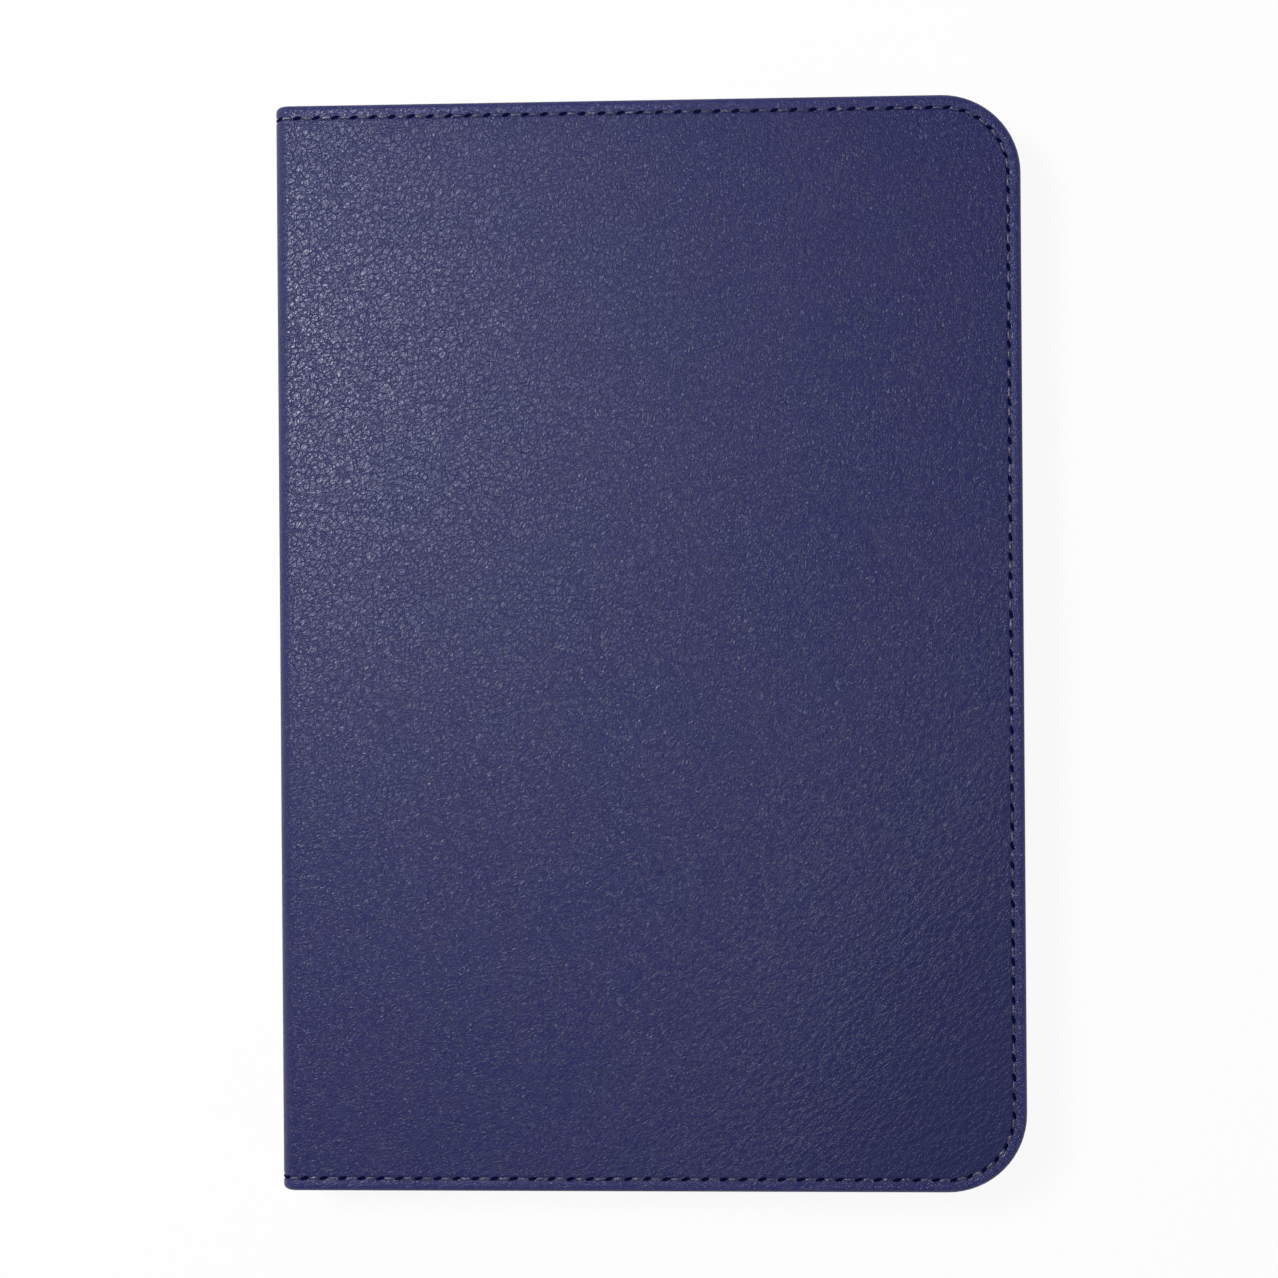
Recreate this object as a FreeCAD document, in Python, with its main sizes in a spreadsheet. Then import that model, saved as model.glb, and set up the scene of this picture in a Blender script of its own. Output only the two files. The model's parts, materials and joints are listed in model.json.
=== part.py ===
"""A leather folio for a 10.5 inch tablet, with a tilting tray and a keyboard on the front cover.

Millimetres. The closed case lies on its back: +Z up, the spine at -X, the top of the cover at +Y.
The origin is under the middle of the closed case, on the surface that it lies on.
"""
import FreeCAD, Part
import math
import os
import re
import Sketcher

# Driving sizes, each with what it measures
SIZES = {
    "tablet_length": (246.8, "tablet, long side"),
    "tablet_width": (161.9, "tablet, short side"),
    "tablet_height": (6.9, "tablet, thickness"),
    "tablet_corner": (10, "tablet, corner radius"),
    "tablet_room": (0.3, "clearance round the tablet"),
    "tray_wall": (1.6, "tray, wall thickness"),
    "tray_floor": (1.2, "tray, floor thickness"),
    "tray_edge": (2.0, "tray, round of the lower edge"),
    "tray_mat": (0.3, "soft mat on the tray's floor"),
    "mat_margin": (1.5, "tray wall to the mat"),
    "lip_height": (1.0, "tray, thickness of the corner lips"),
    "lip_reach": (1.2, "tray, how far a lip reaches over the tablet"),
    "lip_corner": (40, "tray, length of a lip along each side"),
    "notch_floor": (1.5, "tray floor to the bottom of a notch"),
    "port_width": (16, "tray, notch for the tablet's plug"),
    "speaker_width": (22, "tray, notch for a speaker"),
    "speaker_place": (48, "tray middle to a speaker notch"),
    "button_width": (44, "tray, notch for the tablet's buttons"),
    "button_place": (70, "tray middle to the button notch"),
    "camera_length": (20, "camera window, along the case"),
    "camera_width": (13, "camera window, across the case"),
    "camera_corner": (6, "camera window, corner radius"),
    "camera_end": (19, "tray end to the middle of the camera window"),
    "camera_side": (17, "tray side to the middle of the camera window"),
    "camera_margin": (1.5, "how much wider the back cover's window is"),
    "leather": (0.9, "outer leather"),
    "board": (1.2, "stiffening board"),
    "lining": (0.6, "inner lining"),
    "cover_rim": (1.2, "leather turned over the cover's edge"),
    "inlay_room": (0.1, "clearance round a board, lining or magnet"),
    "cover_corner": (17.5, "cover, radius of the two free corners"),
    "cover_edge": (1.0, "cover, round of the outer edge"),
    "rim_edge": (0.5, "cover, bevel of the inner edge"),
    "fold_radius": (3.5, "leather fold, outer radius"),
    "board_gap": (1.5, "fold to the edge of a board"),
    "end_overhang": (2.7, "cover past the tray at each end"),
    "free_overhang": (3.0, "cover past the tray at the free side"),
    "spine_gap": (3.6, "spine lining to the tray"),
    "hinge_leather": (0.6, "leather of the tray's hinge"),
    "hinge_inset": (1.0, "tray side to the hinge line"),
    "tab_width": (15, "hinge leather that is glued to the lining"),
    "stand_board": (1.6, "carrier panel"),
    "stand_room": (0.3, "prop panel to the tray"),
    "stand_length": (186, "stand panels, along the case"),
    "stand_corner": (4, "stand panels, corner radius"),
    "stand_gap": (2.0, "gap between the two stand panels"),
    "foot_inset": (4.0, "tray side to the prop's foot"),
    "strip_width": (14, "leather strip across the prop's fold"),
    "strip_height": (0.4, "leather strip across the prop's fold, thickness"),
    "stop_angle": (60, "steepest stand angle, degrees"),
    "stop_step": (10, "degrees between two stand angles"),
    "bar_length": (50, "stand magnet"),
    "bar_width": (8, "stand magnet"),
    "bar_height": (0.9, "stand magnet"),
    "bar_spread": (90, "between two stand magnets along the case"),
    "foot_margin": (2.5, "prop's foot to its magnet"),
    "sleep_length": (12, "sleep magnet"),
    "sleep_width": (6, "sleep magnet"),
    "sleep_margin": (7, "free side of the cover to a sleep magnet"),
    "sleep_spread": (110, "between the sleep magnets"),
    "keyboard_end": (8, "cover end to the keyboard"),
    "keyboard_free": (12, "free side of the cover to the keyboard"),
    "keyboard_corner": (6, "keyboard, corner radius"),
    "keyboard_edge": (0.9, "keyboard, bevel of the outer edges"),
    "seat_room": (0.1, "keyboard to the cover's lining"),
    "key_room": (0.7, "keys to the tray when closed"),
    "shell_wall": (1.2, "keyboard shells, side wall"),
    "base_plate": (1.0, "keyboard base, floor"),
    "bezel_plate": (1.0, "keyboard bezel, top plate"),
    "split_level": (2.4, "where the keyboard's two shells meet"),
    "membrane": (0.5, "contact sheet under the keys"),
    "dome_height": (1.5, "silicone dome"),
    "dome_radius": (2.4, "silicone dome, foot"),
    "dome_taper": (18, "silicone dome, degrees"),
    "key_border": (5.2, "keyboard end to the first key"),
    "front_strip": (7, "keyboard edge to the space bar"),
    "rear_strip": (14, "keyboard edge to the function keys"),
    "function_pitch": (11, "depth of the function row"),
    "key_columns": (14, "keys in the function row"),
    "key_space": (2.2, "gap between keys"),
    "key_corner": (1.0, "key, bevel of the corners"),
    "key_height": (3.0, "key, from its foot to its top"),
    "key_flange": (0.7, "key, how far its flange reaches under the bezel"),
    "flange_height": (0.6, "key, thickness of its flange"),
    "key_taper": (5, "key, slope of its sides in degrees"),
    "key_rise": (1.2, "key above the bezel, which is its travel"),
    "key_clearance": (0.4, "key to its opening"),
    "grip_length": (20, "keyboard magnet"),
    "grip_width": (4, "keyboard magnet"),
    "grip_height": (1.1, "keyboard magnet"),
    "grip_spread": (120, "between keyboard magnets along the keyboard"),
    "grip_room": (0.4, "keyboard magnet to the side wall"),
    "keeper_height": (0.9, "steel keeper in the front cover"),
    "socket_width": (7.6, "charge socket"),
    "socket_height": (2.6, "charge socket"),
    "socket_depth": (5.2, "charge socket"),
    "socket_skin": (0.35, "charge socket, metal shell"),
    "circuit_length": (40, "circuit board"),
    "circuit_width": (9, "circuit board"),
    "circuit_height": (0.8, "circuit board"),
    "battery_length": (80, "battery"),
    "battery_width": (10, "battery"),
    "battery_height": (2.4, "battery"),
    "battery_corner": (1.0, "battery, corner radius"),
    "switch_place": (95, "keyboard middle to the power switch"),
    "switch_length": (4, "power switch, knob"),
    "switch_height": (1.2, "power switch, knob"),
    "switch_rise": (0.8, "power switch, knob outside the wall"),
    "switch_block": (8, "power switch, inner block"),
    "switch_depth": (1.8, "power switch, inner block"),
    "switch_travel": (2.5, "power switch, travel"),
    "switch_room": (0.25, "power switch to its slot"),
    "button_radius": (2, "connect button"),
    "button_rise": (0.3, "connect button above the bezel"),
    "button_flange": (0.7, "connect button, flange under the bezel"),
    "button_room": (0.2, "connect button to its hole"),
    "button_stem": (0.9, "connect button, stem radius"),
    "connect_place": (85, "keyboard middle to the connect button"),
    "light_length": (2.2, "status light"),
    "light_width": (1.0, "status light"),
    "light_pitch": (6, "between status lights"),
    "light_place": (84, "keyboard middle to the first status light"),
    "light_count": (3, "status lights"),
    "bumper_length": (10, "screen bumper"),
    "bumper_width": (2.4, "screen bumper"),
    "bumper_lift": (0.4, "screen bumper past the keys"),
    "bumper_end": (16, "keyboard end to the middle of a bumper"),
    "bumper_edge": (3.2, "keyboard edge to the middle of a bumper"),
}

# Places and sizes worked out from the driving sizes
LAYOUT = {
    "cover_height": "leather + board + lining",
    "tray_width": "tablet_width + 2 * (tablet_room + tray_wall)",
    "tray_length": "tablet_length + 2 * (tablet_room + tray_wall)",
    "case_width": "cover_height + spine_gap + tray_width + free_overhang",
    "case_length": "tray_length + 2 * end_overhang",
    "case_left": "-case_width / 2",
    "case_right": "case_width / 2",
    "case_end": "case_length / 2",
    "cover_left": "case_left + fold_radius",
    "stand_level": "cover_height + hinge_leather",
    "tray_level": "stand_level + stand_board",
    "tray_depth": "tray_mat + tablet_height + tablet_room",
    "tray_height": "tray_floor + tray_depth + lip_height",
    "tray_left": "case_left + cover_height + spine_gap",
    "tray_middle": "tray_left + tray_width / 2",
    "tray_side": "tray_width / 2",
    "tray_end": "tray_length / 2",
    "space_side": "tablet_width / 2 + tablet_room",
    "space_end": "tablet_length / 2 + tablet_room",
    "space_corner": "tablet_corner + tablet_room",
    "keyboard_height": "base_plate + membrane + dome_height + key_height",
    "keyboard_level": "tray_level + tray_height + key_room + keyboard_height",
    "case_height": "keyboard_level + seat_room + cover_height",
    "spine_half": "case_height / 2 - fold_radius",
    "hinge_place": "tray_left + hinge_inset",
    "arm": "(tray_width - hinge_inset - foot_inset) / 2",
    "fold_place": "hinge_place + arm",
    "foot_place": "fold_place + arm",
    "stand_end": "stand_length / 2",
    "keyboard_length": "case_length - 2 * keyboard_end",
    "key_unit": "(keyboard_length - 2 * key_border) / key_columns",
    "keyboard_depth": "rear_strip + function_pitch + 5 * key_unit + front_strip",
    "keyboard_side": "keyboard_depth / 2",
    "keyboard_half": "keyboard_length / 2",
    "keyboard_middle": "case_right - keyboard_free - keyboard_side",
    "strip_middle": "-keyboard_side + (shell_wall + rear_strip) / 2",
    "dome_level": "base_plate + membrane",
    "key_level": "dome_level + dome_height",
    "bezel_level": "keyboard_height - key_rise",
    "bezel_under": "bezel_level - bezel_plate",
    "keys_left": "-keyboard_half + key_border",
    "grip_front": "keyboard_side - shell_wall - grip_room - grip_width / 2",
    "circuit_top": "base_plate + circuit_height",
    "knob_level": "(circuit_top + bezel_under) / 2",
    "camera_across": "tray_side - camera_side",
    "camera_along": "tray_end - camera_end",
}

# Keys: node, row from the function row at 0, first column and width in key units, how many side by side
KEYS = [
    ("function_keys", 0, 0, 1, 14),
    ("number_keys", 1, 0, 1, 12),
    ("backspace_key", 1, 12, 2, 1),
    ("tab_key", 2, 0, 1.5, 1),
    ("upper_letter_keys", 2, 1.5, 1, 11),
    ("bracket_key", 2, 12.5, 1.5, 1),
    ("caps_lock_key", 3, 0, 1.75, 1),
    ("home_letter_keys", 3, 1.75, 1, 10),
    ("enter_key", 3, 11.75, 2.25, 1),
    ("left_shift_key", 4, 0, 2, 1),
    ("lower_letter_keys", 4, 2, 1, 10),
    ("up_arrow_key", 4, 12, 1, 1),
    ("right_shift_key", 4, 13, 1, 1),
    ("fn_key", 5, 0, 1, 1),
    ("control_key", 5, 1, 1, 1),
    ("option_key", 5, 2, 1, 1),
    ("left_command_key", 5, 3, 1.25, 1),
    ("space_bar", 5, 4.25, 5.5, 1),
    ("right_command_key", 5, 9.75, 1.25, 1),
    ("left_arrow_key", 5, 11, 1, 1),
    ("down_arrow_key", 5, 12, 1, 1),
    ("right_arrow_key", 5, 13, 1, 1),
]

KEY_ROWS = 6
DOME_SIDES = 6
STAND_ANGLES = 3
TINY = 1e-6

document = FreeCAD.newDocument("tablet_keyboard_case")
sizes = document.addObject("Spreadsheet::Sheet", "Sizes")
layout = document.addObject("Spreadsheet::Sheet", "Layout")
vector = FreeCAD.Vector
ABOUT_X = FreeCAD.Rotation(vector(1, 0, 0), 180)
ABOUT_Y = FreeCAD.Rotation(vector(0, 1, 0), 90)
UPRIGHT = FreeCAD.Rotation()


def linked(text):
    """An expression with the name of its sheet before each size in it."""

    def home(match):
        word = match.group()
        if word in SIZES:
            return "Sizes." + word
        if word in LAYOUT:
            return "Layout." + word
        return word

    return re.sub(r"[a-z_]+", home, text)


def fill_sheets():
    """Write the driving sizes as plain numbers and the layout as formulas."""
    for row, (name, (number, meaning)) in enumerate(SIZES.items(), start=1):
        sizes.set("A%d" % row, meaning)
        sizes.set("B%d" % row, str(number))
        sizes.setAlias("B%d" % row, name)
    document.recompute()
    for row, (name, formula) in enumerate(LAYOUT.items(), start=1):
        layout.set("A%d" % row, name.replace("_", " "))
        layout.set("B%d" % row, "=" + linked(formula).replace("Layout.", ""))
        layout.setAlias("B%d" % row, name)
    document.recompute()


def value(text):
    """The number that an expression comes to."""
    return float(sizes.evalExpression(linked(text)))


def bind(item, name, text):
    """Tie one property of an object to an expression."""
    item.setExpression(name, linked(text))


def new_body(label, turn=UPRIGHT, x="0", y="0", z="0"):
    """A body with its own place in the case."""
    body = document.addObject("PartDesign::Body", label)
    body.Label = label
    body.Placement = FreeCAD.Placement(vector(), turn)
    for axis, text in (("x", x), ("y", y), ("z", z)):
        bind(body, "Placement.Base." + axis, text)
    return body


def origin_item(body, role):
    """One of the body's own origin planes or axes."""
    return next(item for item in body.Origin.OriginFeatures if item.Role == role)


def new_sketch(body, name, level="0", plane="XY_Plane"):
    """A sketch on one of the body's own planes, moved along its normal."""
    sketch = body.newObject("Sketcher::SketchObject", name)
    sketch.AttachmentSupport = (origin_item(body, plane), [""])
    sketch.MapMode = "FlatFace"
    bind(sketch, "AttachmentOffset.Base.z", level)
    return sketch


def dimension(sketch, kind, places, text):
    """A dimension of a sketch, tied to an expression."""
    number = sketch.addConstraint(Sketcher.Constraint(kind, *places, value(text)))
    name = "size_%d" % number
    sketch.renameConstraint(number, name)
    bind(sketch, "Constraints." + name, text)


def draw_outline(sketch, left, right, low, high, corners=(None, None, None, None), bevelled=False):
    """A rectangle between four places. Corners go round from the left low one, rounded or bevelled."""
    x_low, x_high, y_low, y_high = [value(text) for text in (left, right, low, high)]
    points = [(x_low, y_low), (x_high, y_low), (x_high, y_high), (x_low, y_high)]
    points = [vector(x, y) for x, y in points]
    along = [vector(1, 0), vector(0, 1), vector(-1, 0), vector(0, -1)]
    radii = [value(corner) if corner else 0 for corner in corners]
    lines = []
    for side in range(4):
        after = (side + 1) % 4
        start = points[side] + along[side] * radii[side]
        end = points[after] - along[side] * radii[after]
        lines.append(sketch.addGeometry(Part.LineSegment(start, end)))
        direction = "Horizontal" if side % 2 == 0 else "Vertical"
        sketch.addConstraint(Sketcher.Constraint(direction, lines[side]))
    for corner in range(4):
        before = lines[corner - 1]
        if not corners[corner]:
            sketch.addConstraint(Sketcher.Constraint("Coincident", before, 2, lines[corner], 1))
            continue
        if bevelled:
            start = points[corner] - along[corner - 1] * radii[corner]
            end = points[corner] + along[corner] * radii[corner]
            slant = sketch.addGeometry(Part.LineSegment(start, end))
            sketch.addConstraint(Sketcher.Constraint("Coincident", before, 2, slant, 1))
            sketch.addConstraint(Sketcher.Constraint("Coincident", slant, 2, lines[corner], 1))
            turn = along[corner - 1] + along[corner]
            dimension(sketch, "DistanceX", (slant, 1, slant, 2), "%d * (%s)" % (turn.x, corners[corner]))
            dimension(sketch, "DistanceY", (slant, 1, slant, 2), "%d * (%s)" % (turn.y, corners[corner]))
            continue
        centre = points[corner] + (along[corner] - along[corner - 1]) * radii[corner]
        first = math.pi * (1 + corner / 2)
        circle = Part.Circle(centre, vector(0, 0, 1), radii[corner])
        arc = sketch.addGeometry(Part.ArcOfCircle(circle, first, first + math.pi / 2))
        sketch.addConstraint(Sketcher.Constraint("Tangent", before, 2, arc, 1))
        sketch.addConstraint(Sketcher.Constraint("Tangent", arc, 2, lines[corner], 1))
        dimension(sketch, "Radius", (arc,), corners[corner])
    dimension(sketch, "DistanceY", (-1, 1, lines[0], 1), low)
    dimension(sketch, "DistanceX", (-1, 1, lines[1], 1), right)
    dimension(sketch, "DistanceY", (-1, 1, lines[2], 1), high)
    dimension(sketch, "DistanceX", (-1, 1, lines[3], 1), left)


def draw_block(sketch, x, y, width, length, corner=None, bevelled=False):
    """A rectangle round a middle point."""
    low_x, high_x = ["%s %s (%s) / 2" % (x, sign, width) for sign in "-+"]
    low_y, high_y = ["%s %s (%s) / 2" % (y, sign, length) for sign in "-+"]
    draw_outline(sketch, low_x, high_x, low_y, high_y, (corner,) * 4, bevelled)


def draw_disc(sketch, x, y, radius):
    """A circle round a middle point."""
    circle = Part.Circle(vector(value(x), value(y)), vector(0, 0, 1), value(radius))
    number = sketch.addGeometry(circle)
    dimension(sketch, "DistanceX", (-1, 1, number, 3), x)
    dimension(sketch, "DistanceY", (-1, 1, number, 3), y)
    dimension(sketch, "Radius", (number,), radius)


def draw_polygon(sketch, x, y, radius, sides):
    """A regular polygon round a middle point, on a construction circle."""
    middle = vector(value(x), value(y))
    reach = value(radius)
    circle = sketch.addGeometry(Part.Circle(middle, vector(0, 0, 1), reach), True)
    turns = [2 * math.pi * side / sides for side in range(sides)]
    points = [middle + vector(math.cos(turn), math.sin(turn)) * reach for turn in turns]
    lines = []
    for side in range(sides):
        segment = Part.LineSegment(points[side], points[(side + 1) % sides])
        lines.append(sketch.addGeometry(segment))
    for side in range(sides):
        sketch.addConstraint(Sketcher.Constraint("Coincident", lines[side - 1], 2, lines[side], 1))
        sketch.addConstraint(Sketcher.Constraint("PointOnObject", lines[side], 1, circle))
        if side:
            sketch.addConstraint(Sketcher.Constraint("Equal", lines[0], lines[side]))
    sketch.addConstraint(Sketcher.Constraint("Horizontal", circle, 3, lines[0], 1))
    dimension(sketch, "DistanceX", (-1, 1, circle, 3), x)
    dimension(sketch, "DistanceY", (-1, 1, circle, 3), y)
    dimension(sketch, "Radius", (circle,), radius)


def pad(body, sketch, length, symmetric=False):
    """Raise a sketch into material."""
    feature = body.newObject("PartDesign::Pad", sketch.Name + "_pad")
    feature.Profile = sketch
    bind(feature, "Length", length)
    if symmetric:
        feature.SideType = "Symmetric"
    body.Tip = feature
    return feature


def pocket(body, sketch, depth, upwards=False):
    """Cut a sketch out of the body, downwards from its plane unless told otherwise."""
    document.recompute()
    before = body.Shape.Volume
    feature = body.newObject("PartDesign::Pocket", sketch.Name + "_cut")
    feature.Profile = sketch
    bind(feature, "Length", depth)
    feature.Reversed = upwards
    body.Tip = feature
    document.recompute()
    if body.Shape.Volume > before - TINY:
        raise RuntimeError(feature.Name + " cuts nothing")
    return feature


def pattern(body, feature, count, pitch, whole=False):
    """Repeat a feature, or the whole body so far, at an even pitch along the case."""
    repeat = body.newObject("PartDesign::LinearPattern", feature.Name + "_row")
    if whole:
        repeat.TransformMode = "Whole shape"
    else:
        repeat.Originals = [feature]
    repeat.Direction = (origin_item(body, "Y_Axis"), [""])
    bind(repeat, "Length", "(%s - 1) * (%s)" % (count, pitch))
    bind(repeat, "Occurrences", count)
    body.Tip = repeat
    document.recompute()
    return repeat


def dress_edges(body, kind, name, amount, chosen):
    """Round or bevel the edges that a test picks out."""
    document.recompute()
    base = body.Tip
    edges = ["Edge%d" % (n + 1) for n, edge in enumerate(base.Shape.Edges) if chosen(edge.BoundBox)]
    feature = body.newObject("PartDesign::" + kind, name)
    feature.Base = (base, edges)
    bind(feature, {"Fillet": "Radius", "Chamfer": "Size"}[kind], amount)
    body.Tip = feature
    document.recompute()


def slope_sides(body, angle):
    """Lean the sides that end at the body's highest face inwards, from its lowest face up."""
    document.recompute()
    base = body.Tip
    low = base.Shape.BoundBox.ZMin + TINY
    high = base.Shape.BoundBox.ZMax - TINY
    boxes = {"Face%d" % (n + 1): face.BoundBox for n, face in enumerate(base.Shape.Faces)}
    slope = body.newObject("PartDesign::Draft", body.Label + "_slope")
    slope.Base = (base, [name for name, box in boxes.items() if box.ZMin < high < box.ZMax])
    slope.NeutralPlane = (base, [next(name for name, box in boxes.items() if box.ZMax < low)])
    bind(slope, "Angle", angle)
    body.Tip = slope
    document.recompute()
    return slope


def plate(label, level, height, outline, turn=UPRIGHT, x="0", z="0"):
    """A flat sheet of one outline, which is left, right, low, high and any corners."""
    body = new_body(label, turn, x=x, z=z)
    sketch = new_sketch(body, label + "_outline", level)
    draw_outline(sketch, *outline)
    pad(body, sketch, height)
    return body


def cut_bars(body, name, level, depth, bars):
    """Cut a pocket for each pair of bars: middle across, width, length and spread along the case."""
    for number, (across, width, length, spread) in enumerate(bars):
        sketch = new_sketch(body, "%s_%d" % (name, number), level)
        wide = width + " + 2 * inlay_room"
        draw_block(sketch, across, "-(%s) / 2" % spread, wide, length + " + 2 * inlay_room")
        pattern(body, pocket(body, sketch, depth), "2", spread)


def bar_group(label, level, height, bars, turn=UPRIGHT, x="0", z="0"):
    """Bars in pairs along the case, as separate solids of one node."""
    body = new_body(label, turn, x=x, z=z)
    for number, (across, width, length, spread) in enumerate(bars):
        sketch = new_sketch(body, "%s_%d" % (label, number), level)
        draw_block(sketch, across, "-(%s) / 2" % spread, width, length)
        pattern(body, pad(body, sketch, height), "2", spread)
    return body


def cut_camera(body, level, depth, margin="0"):
    """Cut the camera window of the tray or of the back cover."""
    sketch = new_sketch(body, body.Label + "_camera", level)
    across = "camera_across"
    if body.Label != "tablet_tray":
        across = "tray_middle + camera_across"
    wide = "camera_width + 2 * (%s)" % margin
    long = "camera_length + 2 * (%s)" % margin
    draw_block(sketch, across, "camera_along", wide, long, "camera_corner + " + margin)
    pocket(body, sketch, depth)


def cover_leather(label, turn, z):
    """The leather of one cover: outer face, and the rim that is turned over the board's edge."""
    round_free = (None, "cover_corner", "cover_corner", None)
    outline = ("cover_left", "case_right", "-case_end", "case_end", round_free)
    body = plate(label, "0", "cover_height", outline, turn, z=z)
    inside = new_sketch(body, label + "_inside", "cover_height")
    inner = "cover_corner - cover_rim"
    draw_outline(
        inside,
        "cover_left - cover_rim",
        "case_right - cover_rim",
        "-case_end + cover_rim",
        "case_end - cover_rim",
        (None, inner, inner, None),
    )
    pocket(body, inside, "board + lining")
    left = value("cover_left") + TINY
    top = value("cover_height") - TINY
    end = value("case_end - cover_rim") + TINY
    right = value("case_right - cover_rim") + TINY

    def outer(box):
        return box.XMax > left and (box.XMax > right or box.YMax > end or box.YMin < -end)

    dress_edges(body, "Fillet", label + "_edge", "cover_edge", lambda box: box.ZMax < TINY and outer(box))
    dress_edges(body, "Chamfer", label + "_rim", "rim_edge", lambda box: box.ZMin > top and outer(box))
    return body


def cover_inlay(label, level, height, gap, turn, z):
    """A board or a lining that fills the leather's hollow."""
    corner = "cover_corner - cover_rim - inlay_room"
    outline = (
        "cover_left + " + gap,
        "case_right - cover_rim - inlay_room",
        "-case_end + cover_rim + inlay_room",
        "case_end - cover_rim - inlay_room",
        (None, corner, corner, None),
    )
    return plate(label, level, height, outline, turn, z=z)


def stop_bars():
    """Where the prop's foot stands at each stand angle, as pairs of magnets."""
    bars = []
    for number in range(STAND_ANGLES):
        angle = "stop_angle - %d * stop_step" % number
        across = "hinge_place + 2 * arm * cos(%s) - foot_margin - bar_width / 2" % angle
        bars.append((across, "bar_width", "bar_length", "bar_spread"))
    return bars


def grip_bars(width, length):
    """The keyboard's four magnets, in the case's own places."""
    rows = ("keyboard_middle - grip_front", "keyboard_middle + grip_front")
    return [(row, width, length, "grip_spread") for row in rows]


def back_half():
    """Leather, board, lining, stand magnets and hinge tab of the back cover."""
    leather = cover_leather("back_leather", UPRIGHT, "0")
    cut_camera(leather, "cover_height", "cover_height", "camera_margin")
    board = cover_inlay("back_board", "leather", "board", "board_gap", UPRIGHT, "0")
    cut_camera(board, "leather + board", "board", "camera_margin")
    cut_bars(board, "stand_slot", "leather + board", "board", stop_bars())
    lining = cover_inlay("back_lining", "leather + board", "lining", "0", UPRIGHT, "0")
    cut_camera(lining, "cover_height", "lining", "camera_margin")
    bar_group("stand_magnets", "leather", "bar_height", stop_bars())
    tab = ("hinge_place", "hinge_place + tab_width", "-stand_end", "stand_end")
    plate("stand_tab", "cover_height", "hinge_leather", tab)


def front_half():
    """Leather, board, lining, sleep magnets and keyboard keepers of the front cover."""
    sleep = [("case_right - sleep_margin", "sleep_width", "sleep_length", "sleep_spread")]
    keepers = grip_bars("grip_width", "grip_length")
    cover_leather("front_leather", ABOUT_X, "case_height")
    board = cover_inlay("front_board", "leather", "board", "board_gap", ABOUT_X, "case_height")
    cut_bars(board, "sleep_slot", "leather + board", "board", sleep)
    cut_bars(board, "keeper_slot", "leather + board", "board", keepers)
    cover_inlay("front_lining", "leather + board", "lining", "0", ABOUT_X, "case_height")
    bar_group("sleep_magnets", "leather", "keeper_height", sleep, ABOUT_X, z="case_height")
    bar_group("keyboard_keepers", "leather", "keeper_height", keepers, ABOUT_X, z="case_height")


def spine():
    """Leather, board and lining between the two folds, laid flat and then stood on edge."""
    place = {"turn": ABOUT_Y, "x": "case_left", "z": "case_height / 2"}
    flat = ("-spine_half", "spine_half", "-case_end", "case_end")
    leather = plate("spine_leather", "0", "cover_height", flat, **place)
    inside = new_sketch(leather, "spine_inside", "cover_height")
    wide = ("-spine_half - cover_rim", "spine_half + cover_rim")
    draw_outline(inside, *wide, "-case_end + cover_rim", "case_end - cover_rim")
    pocket(leather, inside, "board + lining")
    end = value("case_end") - TINY

    def outer(box):
        return box.ZMax < TINY and (box.YMin > end or box.YMax < -end)

    dress_edges(leather, "Fillet", "spine_edge", "cover_edge", outer)
    ends = ("-case_end + cover_rim + inlay_room", "case_end - cover_rim - inlay_room")
    stiff = ("-spine_half + board_gap", "spine_half - board_gap")
    plate("spine_board", "leather", "board", stiff + ends, **place)
    plate("spine_lining", "leather + board", "lining", ("-spine_half", "spine_half") + ends, **place)


def fold(label, turn, z):
    """The quarter round of leather between the spine and one cover."""
    body = new_body(label, turn, x="cover_left", z=z)
    sketch = new_sketch(body, label + "_section", plane="XZ_Plane")
    outer, inner = value("fold_radius"), value("fold_radius - leather")
    arcs = []
    for radius, text in ((outer, "fold_radius"), (inner, "fold_radius - leather")):
        circle = Part.Circle(vector(), vector(0, 0, 1), radius)
        arc = sketch.addGeometry(Part.ArcOfCircle(circle, math.pi, 1.5 * math.pi))
        sketch.addConstraint(Sketcher.Constraint("Coincident", arc, 3, -1, 1))
        sketch.addConstraint(Sketcher.Constraint("PointOnObject", arc, 1, -1))
        sketch.addConstraint(Sketcher.Constraint("PointOnObject", arc, 2, -2))
        dimension(sketch, "Radius", (arc,), text)
        arcs.append(arc)
    ends = ((vector(-outer, 0), vector(-inner, 0), 1), (vector(0, -outer), vector(0, -inner), 2))
    for start, end, point in ends:
        line = sketch.addGeometry(Part.LineSegment(start, end))
        sketch.addConstraint(Sketcher.Constraint("Coincident", line, 1, arcs[0], point))
        sketch.addConstraint(Sketcher.Constraint("Coincident", line, 2, arcs[1], point))
    pad(body, sketch, "case_length", symmetric=True)


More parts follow.
